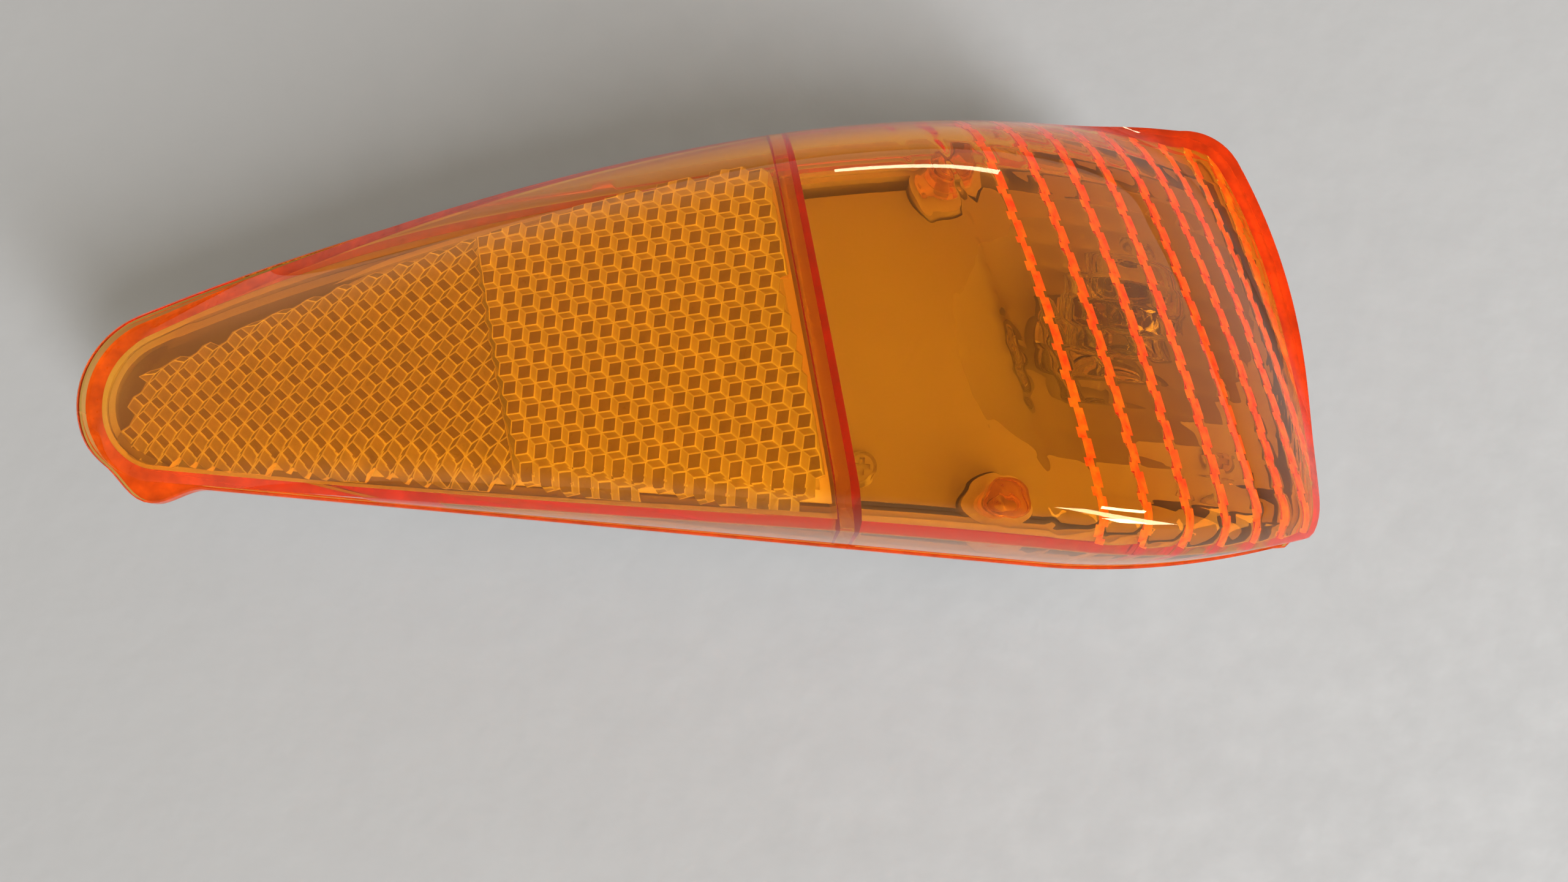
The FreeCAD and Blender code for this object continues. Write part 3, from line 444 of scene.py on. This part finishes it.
def mark_lens(obj, inner_faces):
    """Sorts the lens's faces into clear plastic, the seat under its walls and divider, and the flute
    risers; the seat and risers take painted red light and glow.
    """
    slots = np.full(len(obj.data.polygons), CLEAR_SLOT)
    for face in obj.data.polygons:
        x, y, z = face.center / MM
        w = station_of(x, y)
        at_divider = abs(w - DIVIDER_Q) < DIVIDER_THICKNESS / 2 + DIVIDER_DRAFT
        reach = DIVIDER_FOOT_REACH if at_divider else SEAT_REACH
        if face.normal.z < SEAT_NORMAL and z < RIM_Z + reach:
            slots[face.index] = SEAT_SLOT
        elif face.index in inner_faces and on_riser(w, y):
            slots[face.index] = RISER_SLOT
    obj.data.polygons.foreach_set("material_index", slots)


def outer_level(x, y, w):
    return crown_height(x, y)


def inner_level(x, y, w):
    """Height of the inner face above the rim, with the flutes and the hollow divider."""
    plain = wall_level(x, y, LENS_WALL)
    half = DIVIDER_THICKNESS / 2
    inside = (w > DIVIDER_Q - half + 0.01) & (w < DIVIDER_Q + half + DIVIDER_DRAFT - 0.01)
    core = np.abs(w - DIVIDER_Q) < half - DIVIDER_SKIN + 0.01
    hollow = np.maximum(plain - CORE_ROOF, DIVIDER_FOOT)
    divider = np.where(core, hollow, DIVIDER_FOOT)
    return np.maximum(np.where(inside, divider, plain - flute_relief(w, y)), LOWEST_INSIDE)


def grid_border(columns, count):
    """Places along the border of a grid, once round."""
    places = [(i, 0) for i in range(columns)]
    places += [(columns - 1, j) for j in range(1, count)]
    places += [(i, count - 1) for i in range(columns - 2, -1, -1)]
    places += [(0, j) for j in range(count - 2, 0, -1)]
    return places


def lip_widths(plan, out):
    """Width of the lip round the rim: slimmer below, and drawn out into the nose tongue."""
    lowness = np.clip((-out[:, 1] - LIP_SLIM_FROM) / LIP_SLIM_REACH, 0, 1)[:, None]
    lip = LIP_WIDTH - (LIP_WIDTH - LOWER_LIP_WIDTH) * lowness
    along = np.abs(plan[:, 0] - NOSE_BOTTOM[0] - TONGUE_MIDDLE) / TONGUE_HALF_WIDTH
    near = np.where(plan[:, 1] < NOSE_TIP[1], np.clip(1 - along, 0, 1), 0)[:, None]
    return lip + (TONGUE_DROP - LOWER_LIP_WIDTH) * smooth_step(near)


def build_lens():
    """Lens as one closed mesh: crown, fluted inside, and the walls and lip that join them."""
    poly = lens_outline()
    inner_poly = inset(poly, LENS_WALL)
    _, low, high = chains(poly)
    stations = station_list(low, high)
    rows = grid_shares(LENS_ROWS, ROW_CROWDING)
    top = surface_grid(poly, stations, rows, outer_level)
    under = surface_grid(inner_poly, stations, rows, inner_level)
    columns, count = top[0].shape

    verts = []
    faces = []

    def add_grid(grid, flip):
        base = len(verts)
        for i in range(columns):
            for j in range(count):
                verts.append((grid[0][i, j], grid[1][i, j], RIM_Z + grid[2][i, j]))
        for i in range(columns - 1):
            for j in range(count - 1):
                a = base + i * count + j
                b = a + count
                quad = (a, b, b + 1, a + 1)
                faces.append(quad[::-1] if flip else quad)
        return base

    outer_base = add_grid(top, False)
    first_inner = len(faces)
    inner_base = add_grid(under, True)
    inner_faces = range(first_inner, len(faces))
    ring = grid_border(columns, count)
    outer_ring = [outer_base + i * count + j for i, j in ring]
    inner_ring = [inner_base + i * count + j for i, j in ring]
    plan = np.array([verts[k][:2] for k in outer_ring])
    ahead = np.roll(plan, -2, 0) - np.roll(plan, 2, 0)
    size = np.linalg.norm(ahead, axis=1)[:, None]
    out = np.stack([ahead[:, 1], -ahead[:, 0]], 1) / np.maximum(size, 1e-9)

    def add_ring(points, z):
        base = len(verts)
        for p in points:
            verts.append((p[0], p[1], z))
        return list(range(base, base + len(points)))

    def stitch(a, b):
        n = len(a)
        for k in range(n):
            m = (k + 1) % n
            faces.append((a[k], b[k], b[m], a[m]))

    lip = lip_widths(plan, out)
    lip_outer = plan + out * lip
    lip_soft = plan + out * (lip - LIP_BEVEL)
    rings = [outer_ring]
    rings.append(add_ring(plan, RIM_Z + LIP_HEIGHT))
    rings.append(add_ring(lip_soft, RIM_Z + LIP_HEIGHT))
    rings.append(add_ring(lip_outer, RIM_Z + LIP_HEIGHT - LIP_BEVEL))
    rings.append(add_ring(lip_outer, RIM_Z + SEAT_GAP + SEAT_BEVEL))
    rings.append(add_ring(lip_soft, RIM_Z + SEAT_GAP))
    inner_plan = np.array([verts[k][:2] for k in inner_ring])
    rings.append(add_ring(inner_plan, RIM_Z + SEAT_GAP))
    rings.append(inner_ring)
    for a, b in zip(rings, rings[1:]):
        stitch(a, b)
    obj = mesh_object("lens_shell", verts, faces, 32)
    mark_lens(obj, inner_faces)
    return obj


def boss_places():
    """Middle of each lens screw, read off the screws' own vertices."""
    points = np.array([tuple(v.co) for v in NODES["lens_screws"].data.vertices]) / MM
    places = []
    for x, y in points[:, :2]:
        if all(math.hypot(x - a, y - b) > SCREW_APART for a, b in places):
            places.append((x, y))
    middles = []
    for a, b in places:
        near = points[np.hypot(points[:, 0] - a, points[:, 1] - b) < SCREW_APART]
        middles.append(tuple((near.max(0)[:2] + near.min(0)[:2]) / 2))
    return middles


def build_boss(name, x, y):
    """Bored boss that hangs from the inner face of the lens around one screw."""
    points = np.array([tuple(v.co) for v in NODES["lens_screws"].data.vertices]) / MM
    own = np.hypot(points[:, 0] - x, points[:, 1] - y) < SCREW_APART
    ceiling = points[own, 2].max() + BOSS_END
    foot = RIM_Z + BOSS_FOOT
    profile = [
        (BOSS_BORE, foot),
        (BOSS_RADIUS - BOSS_BEVEL, foot),
        (BOSS_RADIUS, foot + BOSS_BEVEL),
        (BOSS_RADIUS - BOSS_TAPER, ceiling + BOSS_SHOULDER),
        (BOSS_RADIUS - BOSS_TAPER - BOSS_ROUNDING, ceiling + BOSS_TOP),
        (BOSS_AXIS_RADIUS, ceiling + BOSS_TOP),
        (BOSS_AXIS_RADIUS, ceiling),
        (BOSS_BORE, ceiling),
    ]
    verts, faces = [], []
    for radius, z in profile:
        for k in range(BOSS_FACETS):
            angle = 2 * math.pi * k / BOSS_FACETS
            verts.append((x + radius * math.cos(angle), y + radius * math.sin(angle), z))
    for row in range(len(profile)):
        a = row * BOSS_FACETS
        b = ((row + 1) % len(profile)) * BOSS_FACETS
        for k in range(BOSS_FACETS):
            m = (k + 1) % BOSS_FACETS
            faces.append((a + k, a + m, b + m, b + k))
    return mesh_object(name, verts, faces, 30)


def prism_frame(tilt_x, tilt_y):
    """Axis of the cells of one prism zone, and two directions square to it."""
    axis = np.array([-tilt_x, -tilt_y, 1.0])
    axis /= np.linalg.norm(axis)
    angle = math.radians(PRISM_ANGLE)
    along = np.array([math.cos(angle), math.sin(angle), 0.0])
    u = along - axis * np.dot(along, axis)
    u /= np.linalg.norm(u)
    v = np.cross(axis, u)
    return axis, u, v


def inside_poly(points, poly):
    """Which points lie inside a closed outline."""
    x, y = points[:, 0], points[:, 1]
    inside = np.zeros(len(points), bool)
    px, py = poly[:, 0], poly[:, 1]
    qx, qy = np.roll(px, -1), np.roll(py, -1)
    for a, b, c, d in zip(px, py, qx, qy):
        cross = ((b > y) != (d > y)) & (x < (c - a) * (y - b) / (d - b + 1e-12) + a)
        inside ^= cross
    return inside


def field_split(y):
    """x of the line between the two prism fields."""
    return FIELD_SPLIT[0] + (y - FIELD_SPLIT[1]) * FIELD_SPLIT[2]


def field_clip(x, y, region, sign):
    """The place nearest to (x, y) that belongs to the zone on one side of the split."""
    y = min(y, float(top_edge(x)) - FIELD_TOP_MARGIN)
    split = float(field_split(y)) + sign * FIELD_GAP
    x = max(x, split) if sign > 0 else min(x, split)
    x = min(x, FIELD_END - SLANT * y)
    if inside_poly(np.array([[x, y]]), region)[0]:
        return x, y
    ends = np.roll(region, -1, axis=0)
    runs = ends - region
    share = ((np.array([x, y]) - region) * runs).sum(axis=1) / (runs ** 2).sum(axis=1)
    feet = region + runs * np.clip(share, 0, 1)[:, None]
    foot = feet[np.argmin(np.hypot(feet[:, 0] - x, feet[:, 1] - y))]
    return float(foot[0]), float(foot[1])


def cell_corners(axis, u, v, first_angle):
    """The six corners round a cell's tip: every second one is twice as high above the tip."""
    corners = []
    for k in range(6):
        angle = math.radians(first_angle + 60 * k - PRISM_ANGLE)
        height = CUBE_EDGE / math.sqrt(3) * (1 if k % 2 == 0 else 2)
        corners.append(CELL_SIDE * (math.cos(angle) * u + math.sin(angle) * v) + height * axis)
    return corners


def cell_places(axis, u, v, region, sign):
    """Tips of the cells whose middle lies in one prism zone, on a hexagonal lattice."""
    turn = math.radians(-60)
    a = PRISM_PITCH * u
    b = PRISM_PITCH * (math.cos(turn) * u + math.sin(turn) * v)
    steps = range(-FIELD_CELLS, FIELD_CELLS)
    cells = np.array([i * a + j * b for i in steps for j in steps]) + np.array(FIELD_MIDDLE)
    plan = cells[:, :2] + (CUBE_EDGE / math.sqrt(3) * axis)[:2]
    x, y = plan[:, 0], plan[:, 1]
    keep = inside_poly(plan, region)
    keep &= top_edge(x) - y > FIELD_TOP_MARGIN
    keep &= wall_level(x, y, FIELD_DEPTH) > FIELD_LOWEST
    keep &= x + SLANT * y < FIELD_END
    keep &= sign * (x - field_split(y)) > 0
    return cells[keep]


class PrismMesh:
    """Vertices, faces and material slots of the panel, gathered cell by cell."""

    def __init__(self):
        self.verts = []
        self.faces = []
        self.slots = []

    def add_face(self, corners, slot):
        self.faces.append(tuple(corners))
        self.slots.append(slot)

    def add_facet(self, quad, slot):
        """One face of a cell, with a painted glint along the border where it meets its neighbours."""
        corners = [np.array(self.verts[k]) for k in quad]
        middle = sum(corners) / len(corners)
        base = len(self.verts)
        for corner in corners:
            self.verts.append(tuple(corner + (middle - corner) * GLINT_BORDER_SHARE))
        self.add_face(range(base, base + 4), slot)
        for k in range(4):
            m = (k + 1) % 4
            self.add_face((quad[k], quad[m], base + m, base + k), PAINTED_GLINT_SLOT)

    def add_zone(self, frame_axes, first_angle, sign, facet_slots, region):
        """All the cells on one side of the split, closed off along the zone's border."""
        axis, u, v = frame_axes
        offsets = cell_corners(axis, u, v, first_angle)
        tall = 2 * CUBE_EDGE / math.sqrt(3) / axis[2]
        known = {}

        def vertex(point, is_front):
            key = (round(point[0] * VERTICES_PER_MM), round(point[1] * VERTICES_PER_MM), is_front)
            if key not in known:
                x, y = field_clip(point[0], point[1], region, sign)
                if is_front:
                    z = wall_level(x, y, PANEL_DEPTH)
                else:
                    aside = point - np.array(FIELD_MIDDLE)
                    above = aside[2] + (axis[0] * aside[0] + axis[1] * aside[1]) / axis[2]
                    z = wall_level(x, y, PRISM_BASE_DEPTH) - tall + above
                known[key] = len(self.verts)
                self.verts.append((x, y, RIM_Z + float(z)))
            return known[key]

        borders = {}
        for tip_place in cell_places(axis, u, v, region, sign):
            back = [vertex(tip_place + o, False) for o in offsets]
            tip = vertex(tip_place, False)
            front = [vertex(tip_place + o, True) for o in offsets]
            middle = vertex(tip_place, True)
            for k in range(0, 6, 2):
                quad = (tip, back[(k + 2) % 6], back[k + 1], back[k])
                self.add_facet(quad, facet_slots[k // 2])
            for k in range(6):
                m = (k + 1) % 6
                self.add_face((middle, front[k], front[m]), CLEAR_SLOT)
                side = (front[m], front[k], back[k], back[m])
                borders.setdefault(tuple(sorted((front[k], front[m]))), []).append(side)
        for sides in borders.values():
            if len(sides) == 1:
                self.add_face(sides[0], SIDE_SLOT)


def build_prisms():
    """Panel of corner-cube cells: smooth front, three square faces behind each cell, painted with
    light and shade and a glint along their borders.
    """
    region = inset(lens_outline(1.0), LENS_WALL + FIELD_INSET)
    panel = PrismMesh()
    panel.add_zone(prism_frame(*RIGHT_TILT), RIGHT_TURN, 1, RIGHT_SLOTS, region)
    panel.add_zone(prism_frame(*LEFT_TILT), LEFT_TURN, -1, LEFT_SLOTS, region)
    obj = mesh_object("prism_panel", panel.verts, panel.faces)
    obj.data.polygons.foreach_set("material_index", panel.slots)
    return obj


# ---------------------------------------------------------------- materials
AMBER_IOR = 1.49
GLASS_IOR = 1.5
STAIN = 0.15
AMBER_DENSITY = 500.0
PRISM_DENSITY = 30.0
BOSS_DENSITY = 150.0
AMBER_TINT = (0.991, 0.77, 0.0, 1.0)
LENS_FACE = (1.0, 0.8, 0.4, 1.0)
PRISM_FACE = (1.0, 0.97, 0.85, 1.0)
AMBER_SHEEN = (1.0, 0.74, 0.38, 1.0)
# Painted glow: emission on the lens, bosses, seat and risers stands in for light scattered inside the
# amber plastic.
PAINTED_GLOW_COLOUR = (1.0, 0.2, 0.01, 1.0)
# Colour of the painted glints along the prism grooves.
PAINTED_GLINT_COLOUR = (1.0, 0.6, 0.06, 1.0)
LENS_PAINTED_GLOW = 0.02
FACET_SPREAD = 0.8
# Prism back faces painted with light and shade: darker and lighter copies of one face stand in for the
# light each cell sends back, some with painted glow.
PAINTED_FACETS = (
    ("facet_painted_shade", (0.5, 0.43, 0.22), 0.0),
    ("facet_painted_dim", (0.62, 0.54, 0.3), 0.0),
    ("facet_painted_mid", (0.9, 0.84, 0.55), 0.05),
    ("facet_painted_bright", (1.0, 0.97, 0.75), 0.2),
    ("facet_painted_glint", (1.0, 1.0, 0.85), 0.3),
)
# Painted light on the seat under the lens walls and divider: opaque red, darker and lighter by noise,
# and a glow, in place of light carried through the plastic.
SEAT_PAINTED_DIM = (0.5, 0.06, 0.006)
SEAT_PAINTED_LIT = (0.85, 0.15, 0.012)
SEAT_PAINTED_GLOW = 0.05
# Painted light on the flute risers: opaque red with painted yellow glints by noise, and a glow, in
# place of light carried along the plastic.
RISER_PAINTED_RED = (0.95, 0.07, 0.005)
RISER_PAINTED_GLINT = (1.0, 0.45, 0.04)
RISER_PAINTED_GLOW = 0.12


def new_material(name):
    """Material with its node tree and its one surface shader."""
    mat = bpy.data.materials.new(name)
    mat.use_nodes = True
    tree = mat.node_tree
    shader = tree.nodes["Principled BSDF"]
    return mat, tree, shader


def noise(tree, scale, detail=4.0, rough=0.55, vector=None):
    """Noise in the object's own coordinates, or along another vector."""
    node = tree.nodes.new("ShaderNodeTexNoise")
    node.inputs["Scale"].default_value = scale
    node.inputs["Detail"].default_value = detail
    node.inputs["Roughness"].default_value = rough
    if vector is None:
        coord = tree.nodes.new("ShaderNodeTexCoord")
        vector = coord.outputs["Object"]
    tree.links.new(vector, node.inputs["Vector"])
    return node.outputs["Fac"]


def ranged(tree, value, low, high, start=0.3, end=0.7):
    """The value from start to end, spread over low to high."""
    node = tree.nodes.new("ShaderNodeMapRange")
    node.inputs["From Min"].default_value = start
    node.inputs["From Max"].default_value = end
    node.inputs["To Min"].default_value = low
    node.inputs["To Max"].default_value = high
    tree.links.new(value, node.inputs["Value"])
    return node.outputs["Result"]


def bump(tree, shader, height, distance):
    node = tree.nodes.new("ShaderNodeBump")
    node.inputs["Strength"].default_value = 1.0
    node.inputs["Distance"].default_value = distance
    tree.links.new(height, node.inputs["Height"])
    tree.links.new(node.outputs["Normal"], shader.inputs["Normal"])


def colour_mix(tree, share, dark, bright):
    """Colour that goes from dark to bright with a share from 0 to 1."""
    mix = tree.nodes.new("ShaderNodeMix")
    mix.data_type = "RGBA"
    mix.inputs["A"].default_value = tuple(dark) + (1,)
    mix.inputs["B"].default_value = tuple(bright) + (1,)
    tree.links.new(share, mix.inputs["Factor"])
    return mix.outputs["Result"]


def shade(colour, share):
    """A colour made lighter or darker by a share of itself."""
    return tuple(min(1.0, c * (1 + share)) for c in colour)


def rough_noise(tree, shader, scale, low, high):
    tree.links.new(ranged(tree, noise(tree, scale), low, high), shader.inputs["Roughness"])


def amber(name, rough, wave, density, face, painted_glow):
    """Clear amber plastic: its colour deepens with the length of plastic that light passes through;
    its emission is painted glow for light scattered inside.
    """
    mat, tree, shader = new_material(name)
    shader.inputs["Base Color"].default_value = face
    shader.inputs["Transmission Weight"].default_value = 1.0
    shader.inputs["IOR"].default_value = AMBER_IOR
    shader.inputs["Specular Tint"].default_value = AMBER_SHEEN
    shader.inputs["Emission Color"].default_value = PAINTED_GLOW_COLOUR
    shader.inputs["Emission Strength"].default_value = painted_glow
    rough_noise(tree, shader, 90.0, rough * 0.5, rough * 1.6)
    bump(tree, shader, noise(tree, 60.0, 2.0), wave)
    volume = tree.nodes.new("ShaderNodeVolumeAbsorption")
    volume.inputs["Color"].default_value = AMBER_TINT
    volume.inputs["Density"].default_value = density
    out = tree.nodes["Material Output"]
    tree.links.new(volume.outputs["Volume"], out.inputs["Volume"])
    return mat


def painted_light_face(name, dark, bright, scale, painted_glow_colour, painted_glow):
    """Opaque face inside the amber plastic with painted light: its colour, patchy by noise, and its
    glow stand in for the light that the plastic sends back.
    """
    mat, tree, shader = new_material(name)
    share = ranged(tree, noise(tree, scale, 3.0), 0.0, 1.0)
    tree.links.new(colour_mix(tree, share, dark, bright), shader.inputs["Base Color"])
    shader.inputs["Emission Color"].default_value = painted_glow_colour
    shader.inputs["Emission Strength"].default_value = painted_glow
    rough_noise(tree, shader, 900.0, 0.25, 0.5)
    bump(tree, shader, noise(tree, 1200.0, 2.0), 0.00001)
    return mat


# Prism back face painted with light or shade, patchy by noise, with a painted glow.
def facet(name, painted_tone, painted_glow):
    dark = tuple(c * FACET_SPREAD for c in painted_tone)
    return painted_light_face(name, dark, painted_tone, 300.0, PAINTED_GLINT_COLOUR, painted_glow)


def plastic(name, colour, rough, grain_scale, grain, spread=0.12):
    """Opaque plastic or rubber with a faint cloudiness and a moulded grain."""
    mat, tree, shader = new_material(name)
    cloud = noise(tree, 35.0, 5.0)
    mixed = colour_mix(tree, cloud, shade(colour, -spread), shade(colour, spread))
    tree.links.new(mixed, shader.inputs["Base Color"])
    rough_noise(tree, shader, 120.0, rough * 0.85, min(1.0, rough * 1.15))
    bump(tree, shader, noise(tree, grain_scale, 3.0), grain)
    return mat


def metal(name, colour, rough, scratch_scale):
    """Metal with fine drawn lines and slight stains."""
    mat, tree, shader = new_material(name)
    shader.inputs["Metallic"].default_value = 1.0
    coord = tree.nodes.new("ShaderNodeTexCoord")
    stretch = tree.nodes.new("ShaderNodeMapping")
    stretch.inputs["Scale"].default_value = (1.0, 1.0, 14.0)
    tree.links.new(coord.outputs["Object"], stretch.inputs["Vector"])
    lines = noise(tree, scratch_scale, 4.0, 0.6, stretch.outputs["Vector"])
    stain = noise(tree, 140.0, 5.0)
    mixed = colour_mix(tree, stain, shade(colour, -STAIN), shade(colour, STAIN * 0.6))
    tree.links.new(mixed, shader.inputs["Base Color"])
    tree.links.new(ranged(tree, lines, rough * 0.7, rough * 1.4), shader.inputs["Roughness"])
    bump(tree, shader, lines, 0.00003)
    return mat


def clear_glass(name):
    """Clear glass with a faint bloom."""
    mat, tree, shader = new_material(name)
    shader.inputs["Base Color"].default_value = (0.97, 0.985, 0.98, 1)
    shader.inputs["Transmission Weight"].default_value = 1.0
    shader.inputs["IOR"].default_value = GLASS_IOR
    rough_noise(tree, shader, 80.0, 0.0, 0.03)
    return mat


MATERIALS = {
    "amber_lens": amber("amber_lens", 0.02, 0.00001, AMBER_DENSITY, LENS_FACE, LENS_PAINTED_GLOW),
    "amber_prism": amber("amber_prism", 0.015, 0.000003, PRISM_DENSITY, PRISM_FACE, 0.0),
    "amber_boss": amber("amber_boss", 0.02, 0.00001, BOSS_DENSITY, LENS_FACE, LENS_PAINTED_GLOW),
    "plate_plastic": plastic("plate_plastic", (0.86, 0.84, 0.78), 0.6, 900.0, 0.00003, 0.05),
    "housing_plastic": plastic("housing_plastic", (0.62, 0.59, 0.53), 0.5, 1500.0, 0.00006, 0.05),
    "gasket_silicone": plastic("gasket_silicone", (0.72, 0.7, 0.64), 0.45, 900.0, 0.00003, 0.05),
    "liner_plastic": plastic("liner_plastic", (0.42, 0.4, 0.36), 0.55, 900.0, 0.00002, 0.05),
    "seal_rubber": plastic("seal_rubber", (0.02, 0.02, 0.021), 0.75, 700.0, 0.00005),
    "screw_steel": metal("screw_steel", (0.62, 0.61, 0.57), 0.32, 400.0),
    "insert_brass": metal("insert_brass", (0.75, 0.56, 0.27), 0.3, 500.0),
    "holder_plastic": plastic("holder_plastic", (0.38, 0.38, 0.38), 0.55, 1200.0, 0.00005),
    "socket_steel": metal("socket_steel", (0.66, 0.65, 0.62), 0.25, 300.0),
    "carrier_plastic": plastic("carrier_plastic", (0.14, 0.055, 0.02), 0.45, 800.0, 0.00003),
    "contact_brass": metal("contact_brass", (0.8, 0.62, 0.3), 0.28, 500.0),
    "spring_steel": metal("spring_steel", (0.5, 0.5, 0.5), 0.3, 600.0),
    "wire_live": plastic("wire_live", (0.75, 0.2, 0.01), 0.4, 500.0, 0.00003),
    "wire_ground": plastic("wire_ground", (0.01, 0.13, 0.025), 0.4, 500.0, 0.00003),
    "sleeve_pvc": plastic("sleeve_pvc", (0.015, 0.015, 0.016), 0.35, 400.0, 0.00004),
    "plug_nylon": plastic("plug_nylon", (0.66, 0.64, 0.57), 0.45, 900.0, 0.00003),
    "bulb_clear": clear_glass("bulb_clear"),
    "cap_nickel": metal("cap_nickel", (0.72, 0.68, 0.58), 0.25, 350.0),
    "insulator_glass": plastic("insulator_glass", (0.012, 0.008, 0.014), 0.15, 300.0, 0.00003),
    "contact_solder": metal("contact_solder", (0.6, 0.6, 0.6), 0.45, 250.0),
    "filament_tungsten": metal("filament_tungsten", (0.25, 0.25, 0.26), 0.4, 800.0),
}


def dress_cad():
    """Each CAD node gets the material of its own slot."""
    for row in frame["record"]["subparts"]:
        obj = NODES[row["node"]]
        obj.data.materials.clear()
        obj.data.materials.append(MATERIALS[row["material_slot"]])


dress_cad()
lens = build_lens()
lens.data.materials.append(MATERIALS["amber_lens"])
# The seat and risers are painted: red light, yellow glints and glow on opaque faces.
seat = painted_light_face("seat_painted_glow", SEAT_PAINTED_DIM, SEAT_PAINTED_LIT, 250.0, PAINTED_GLOW_COLOUR, SEAT_PAINTED_GLOW)
riser = painted_light_face("riser_painted_glint", RISER_PAINTED_RED, RISER_PAINTED_GLINT, 450.0, PAINTED_GLOW_COLOUR, RISER_PAINTED_GLOW)
lens.data.materials.append(seat)
lens.data.materials.append(riser)
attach(lens, "lens_unit")
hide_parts("outer_lens")

for index, (x, y) in enumerate(boss_places()):
    boss = build_boss("lens_boss_%d" % index, x, y)
    boss.data.materials.append(MATERIALS["amber_boss"])
    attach(boss, "lens_unit")

prisms = build_prisms()
prisms.data.materials.append(MATERIALS["amber_prism"])
# Prism facets painted with shade, light and glints.
for facet_name, facet_painted_tone, facet_painted_glow in PAINTED_FACETS:
    prisms.data.materials.append(facet(facet_name, facet_painted_tone, facet_painted_glow))
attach(prisms, "lens_unit")
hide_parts("reflex_reflector")


# ---------------------------------------------------------------- floor, light and camera
FLOOR_REACH = 3.0
FLOOR_COLOUR = (0.36, 0.37, 0.39)

CAMERA_TILT = math.radians(9.0)
CAMERA_ROLL = math.radians(4.75)
CAMERA_REACH = 0.208
CAMERA_AIM = (0.015, -0.019)
SENSOR_WIDTH = 36.0
FOCAL_SHARE = 2090 / 2560

DOME_LOW = 0.98
DOME_HIGH = 0.53
ZENITH_COLOUR = (1.0, 0.84, 0.58)
HORIZON_COLOUR = (0.95, 0.97, 1.0)
DOME_FALL = (0.25, 0.75)

# Each light: name, spot of its reflection on the lens in mm, distance and sizes in m,
# power in W, and whether it shows in reflections only.
LIGHTS = (
    ("window", (61.0, -31.2), 1.5, (0.34, 1.3), 36.0, False),
    ("streak", (33.0, 18.8), 0.9, (0.5, 0.06), 2.0, True),
    ("glint_0", (62.0, -32.8), 0.7, (0.12, 0.18), 3.6, True),
    ("glint_1", (61.5, -31.6), 0.7, (0.12, 0.18), 3.6, True),
    ("glint_2", (61.2, -30.2), 0.7, (0.12, 0.18), 3.6, True),
)


def build_floor():
    mesh = bpy.data.meshes.new("floor")
    r = FLOOR_REACH
    mesh.from_pydata([(-r, -r, 0), (r, -r, 0), (r, r, 0), (-r, r, 0)], [], [(0, 1, 2, 3)])
    floor = bpy.data.objects.new("floor", mesh)
    bpy.context.scene.collection.objects.link(floor)
    mesh.materials.append(plastic("floor_card", FLOOR_COLOUR, 0.85, 120.0, 0.0002, 0.02))


def area_light(name, place, target, sizes, power):
    data = bpy.data.lights.new(name, "AREA")
    data.shape = "RECTANGLE"
    data.size, data.size_y = sizes
    data.energy = power
    light = bpy.data.objects.new(name, data)
    bpy.context.scene.collection.objects.link(light)
    light.location = place
    light.rotation_euler = (Vector(target) - Vector(place)).to_track_quat("-Z", "Y").to_euler()
    return light


def build_camera():
    """Camera a little in front of straight above, rolled as the lamp lies in the view."""
    data = bpy.data.cameras.new("camera")
    data.sensor_width = SENSOR_WIDTH
    data.lens = SENSOR_WIDTH * FOCAL_SHARE
    data.clip_start = 0.01
    camera = bpy.data.objects.new("camera", data)
    bpy.context.scene.collection.objects.link(camera)
    across = Vector((math.cos(CAMERA_ROLL), math.sin(CAMERA_ROLL), 0))
    along = Vector((-math.sin(CAMERA_ROLL), math.cos(CAMERA_ROLL), 0))
    back = Vector((0, 0, 1)) * math.cos(CAMERA_TILT) - along * math.sin(CAMERA_TILT)
    up = back.cross(across)
    place = Vector((*CAMERA_AIM, RIM_Z * MM)) + back * CAMERA_REACH
    rows = Matrix((across, up, back)).transposed().to_4x4()
    camera.matrix_world = Matrix.Translation(place) @ rows
    bpy.context.scene.camera = camera


def build_world():
    """Dome that is pale near the horizon, and dimmer and warmer overhead."""
    world = bpy.data.worlds.new("studio")
    world.use_nodes = True
    bpy.context.scene.world = world
    back = world.node_tree.nodes["Background"]
    tree = world.node_tree
    coord = tree.nodes.new("ShaderNodeTexCoord")
    split = tree.nodes.new("ShaderNodeSeparateXYZ")
    tree.links.new(coord.outputs["Generated"], split.inputs["Vector"])
    strength = ranged(tree, split.outputs["Z"], DOME_LOW, DOME_HIGH, DOME_FALL[0], DOME_FALL[1])
    tree.links.new(strength, back.inputs["Strength"])
    height = ranged(tree, split.outputs["Z"], 0.0, 1.0, DOME_FALL[0], DOME_FALL[1])
    tint = colour_mix(tree, height, HORIZON_COLOUR, ZENITH_COLOUR)
    tree.links.new(tint, back.inputs["Color"])


def reflected_light(name, spot, distance, sizes, power, reflections_only):
    """Area light placed where the camera sees its reflection at one spot of the lens's crown."""
    x, y = spot
    slope_x, slope_y = crown_slope(x, y, 0.1)
    normal = Vector((-float(slope_x), -float(slope_y), 1)).normalized()
    point = Vector((x, y, RIM_Z + float(crown_height(x, y)))) * MM
    view = (bpy.context.scene.camera.location - point).normalized()
    towards = 2 * normal.dot(view) * normal - view
    light = area_light(name, point + towards * distance, point, sizes, power)
    light.visible_diffuse = not reflections_only
    light.visible_transmission = not reflections_only


build_floor()
build_camera()
build_world()
for row in LIGHTS:
    reflected_light(*row)

scene = bpy.context.scene
scene.cycles.max_bounces = 32
scene.cycles.transmission_bounces = 20
scene.cycles.glossy_bounces = 12
scene.cycles.diffuse_bounces = 10
scene.cycles.use_denoising = True
scene.cycles.sample_clamp_indirect = 6.0
scene.view_settings.view_transform = "Standard"
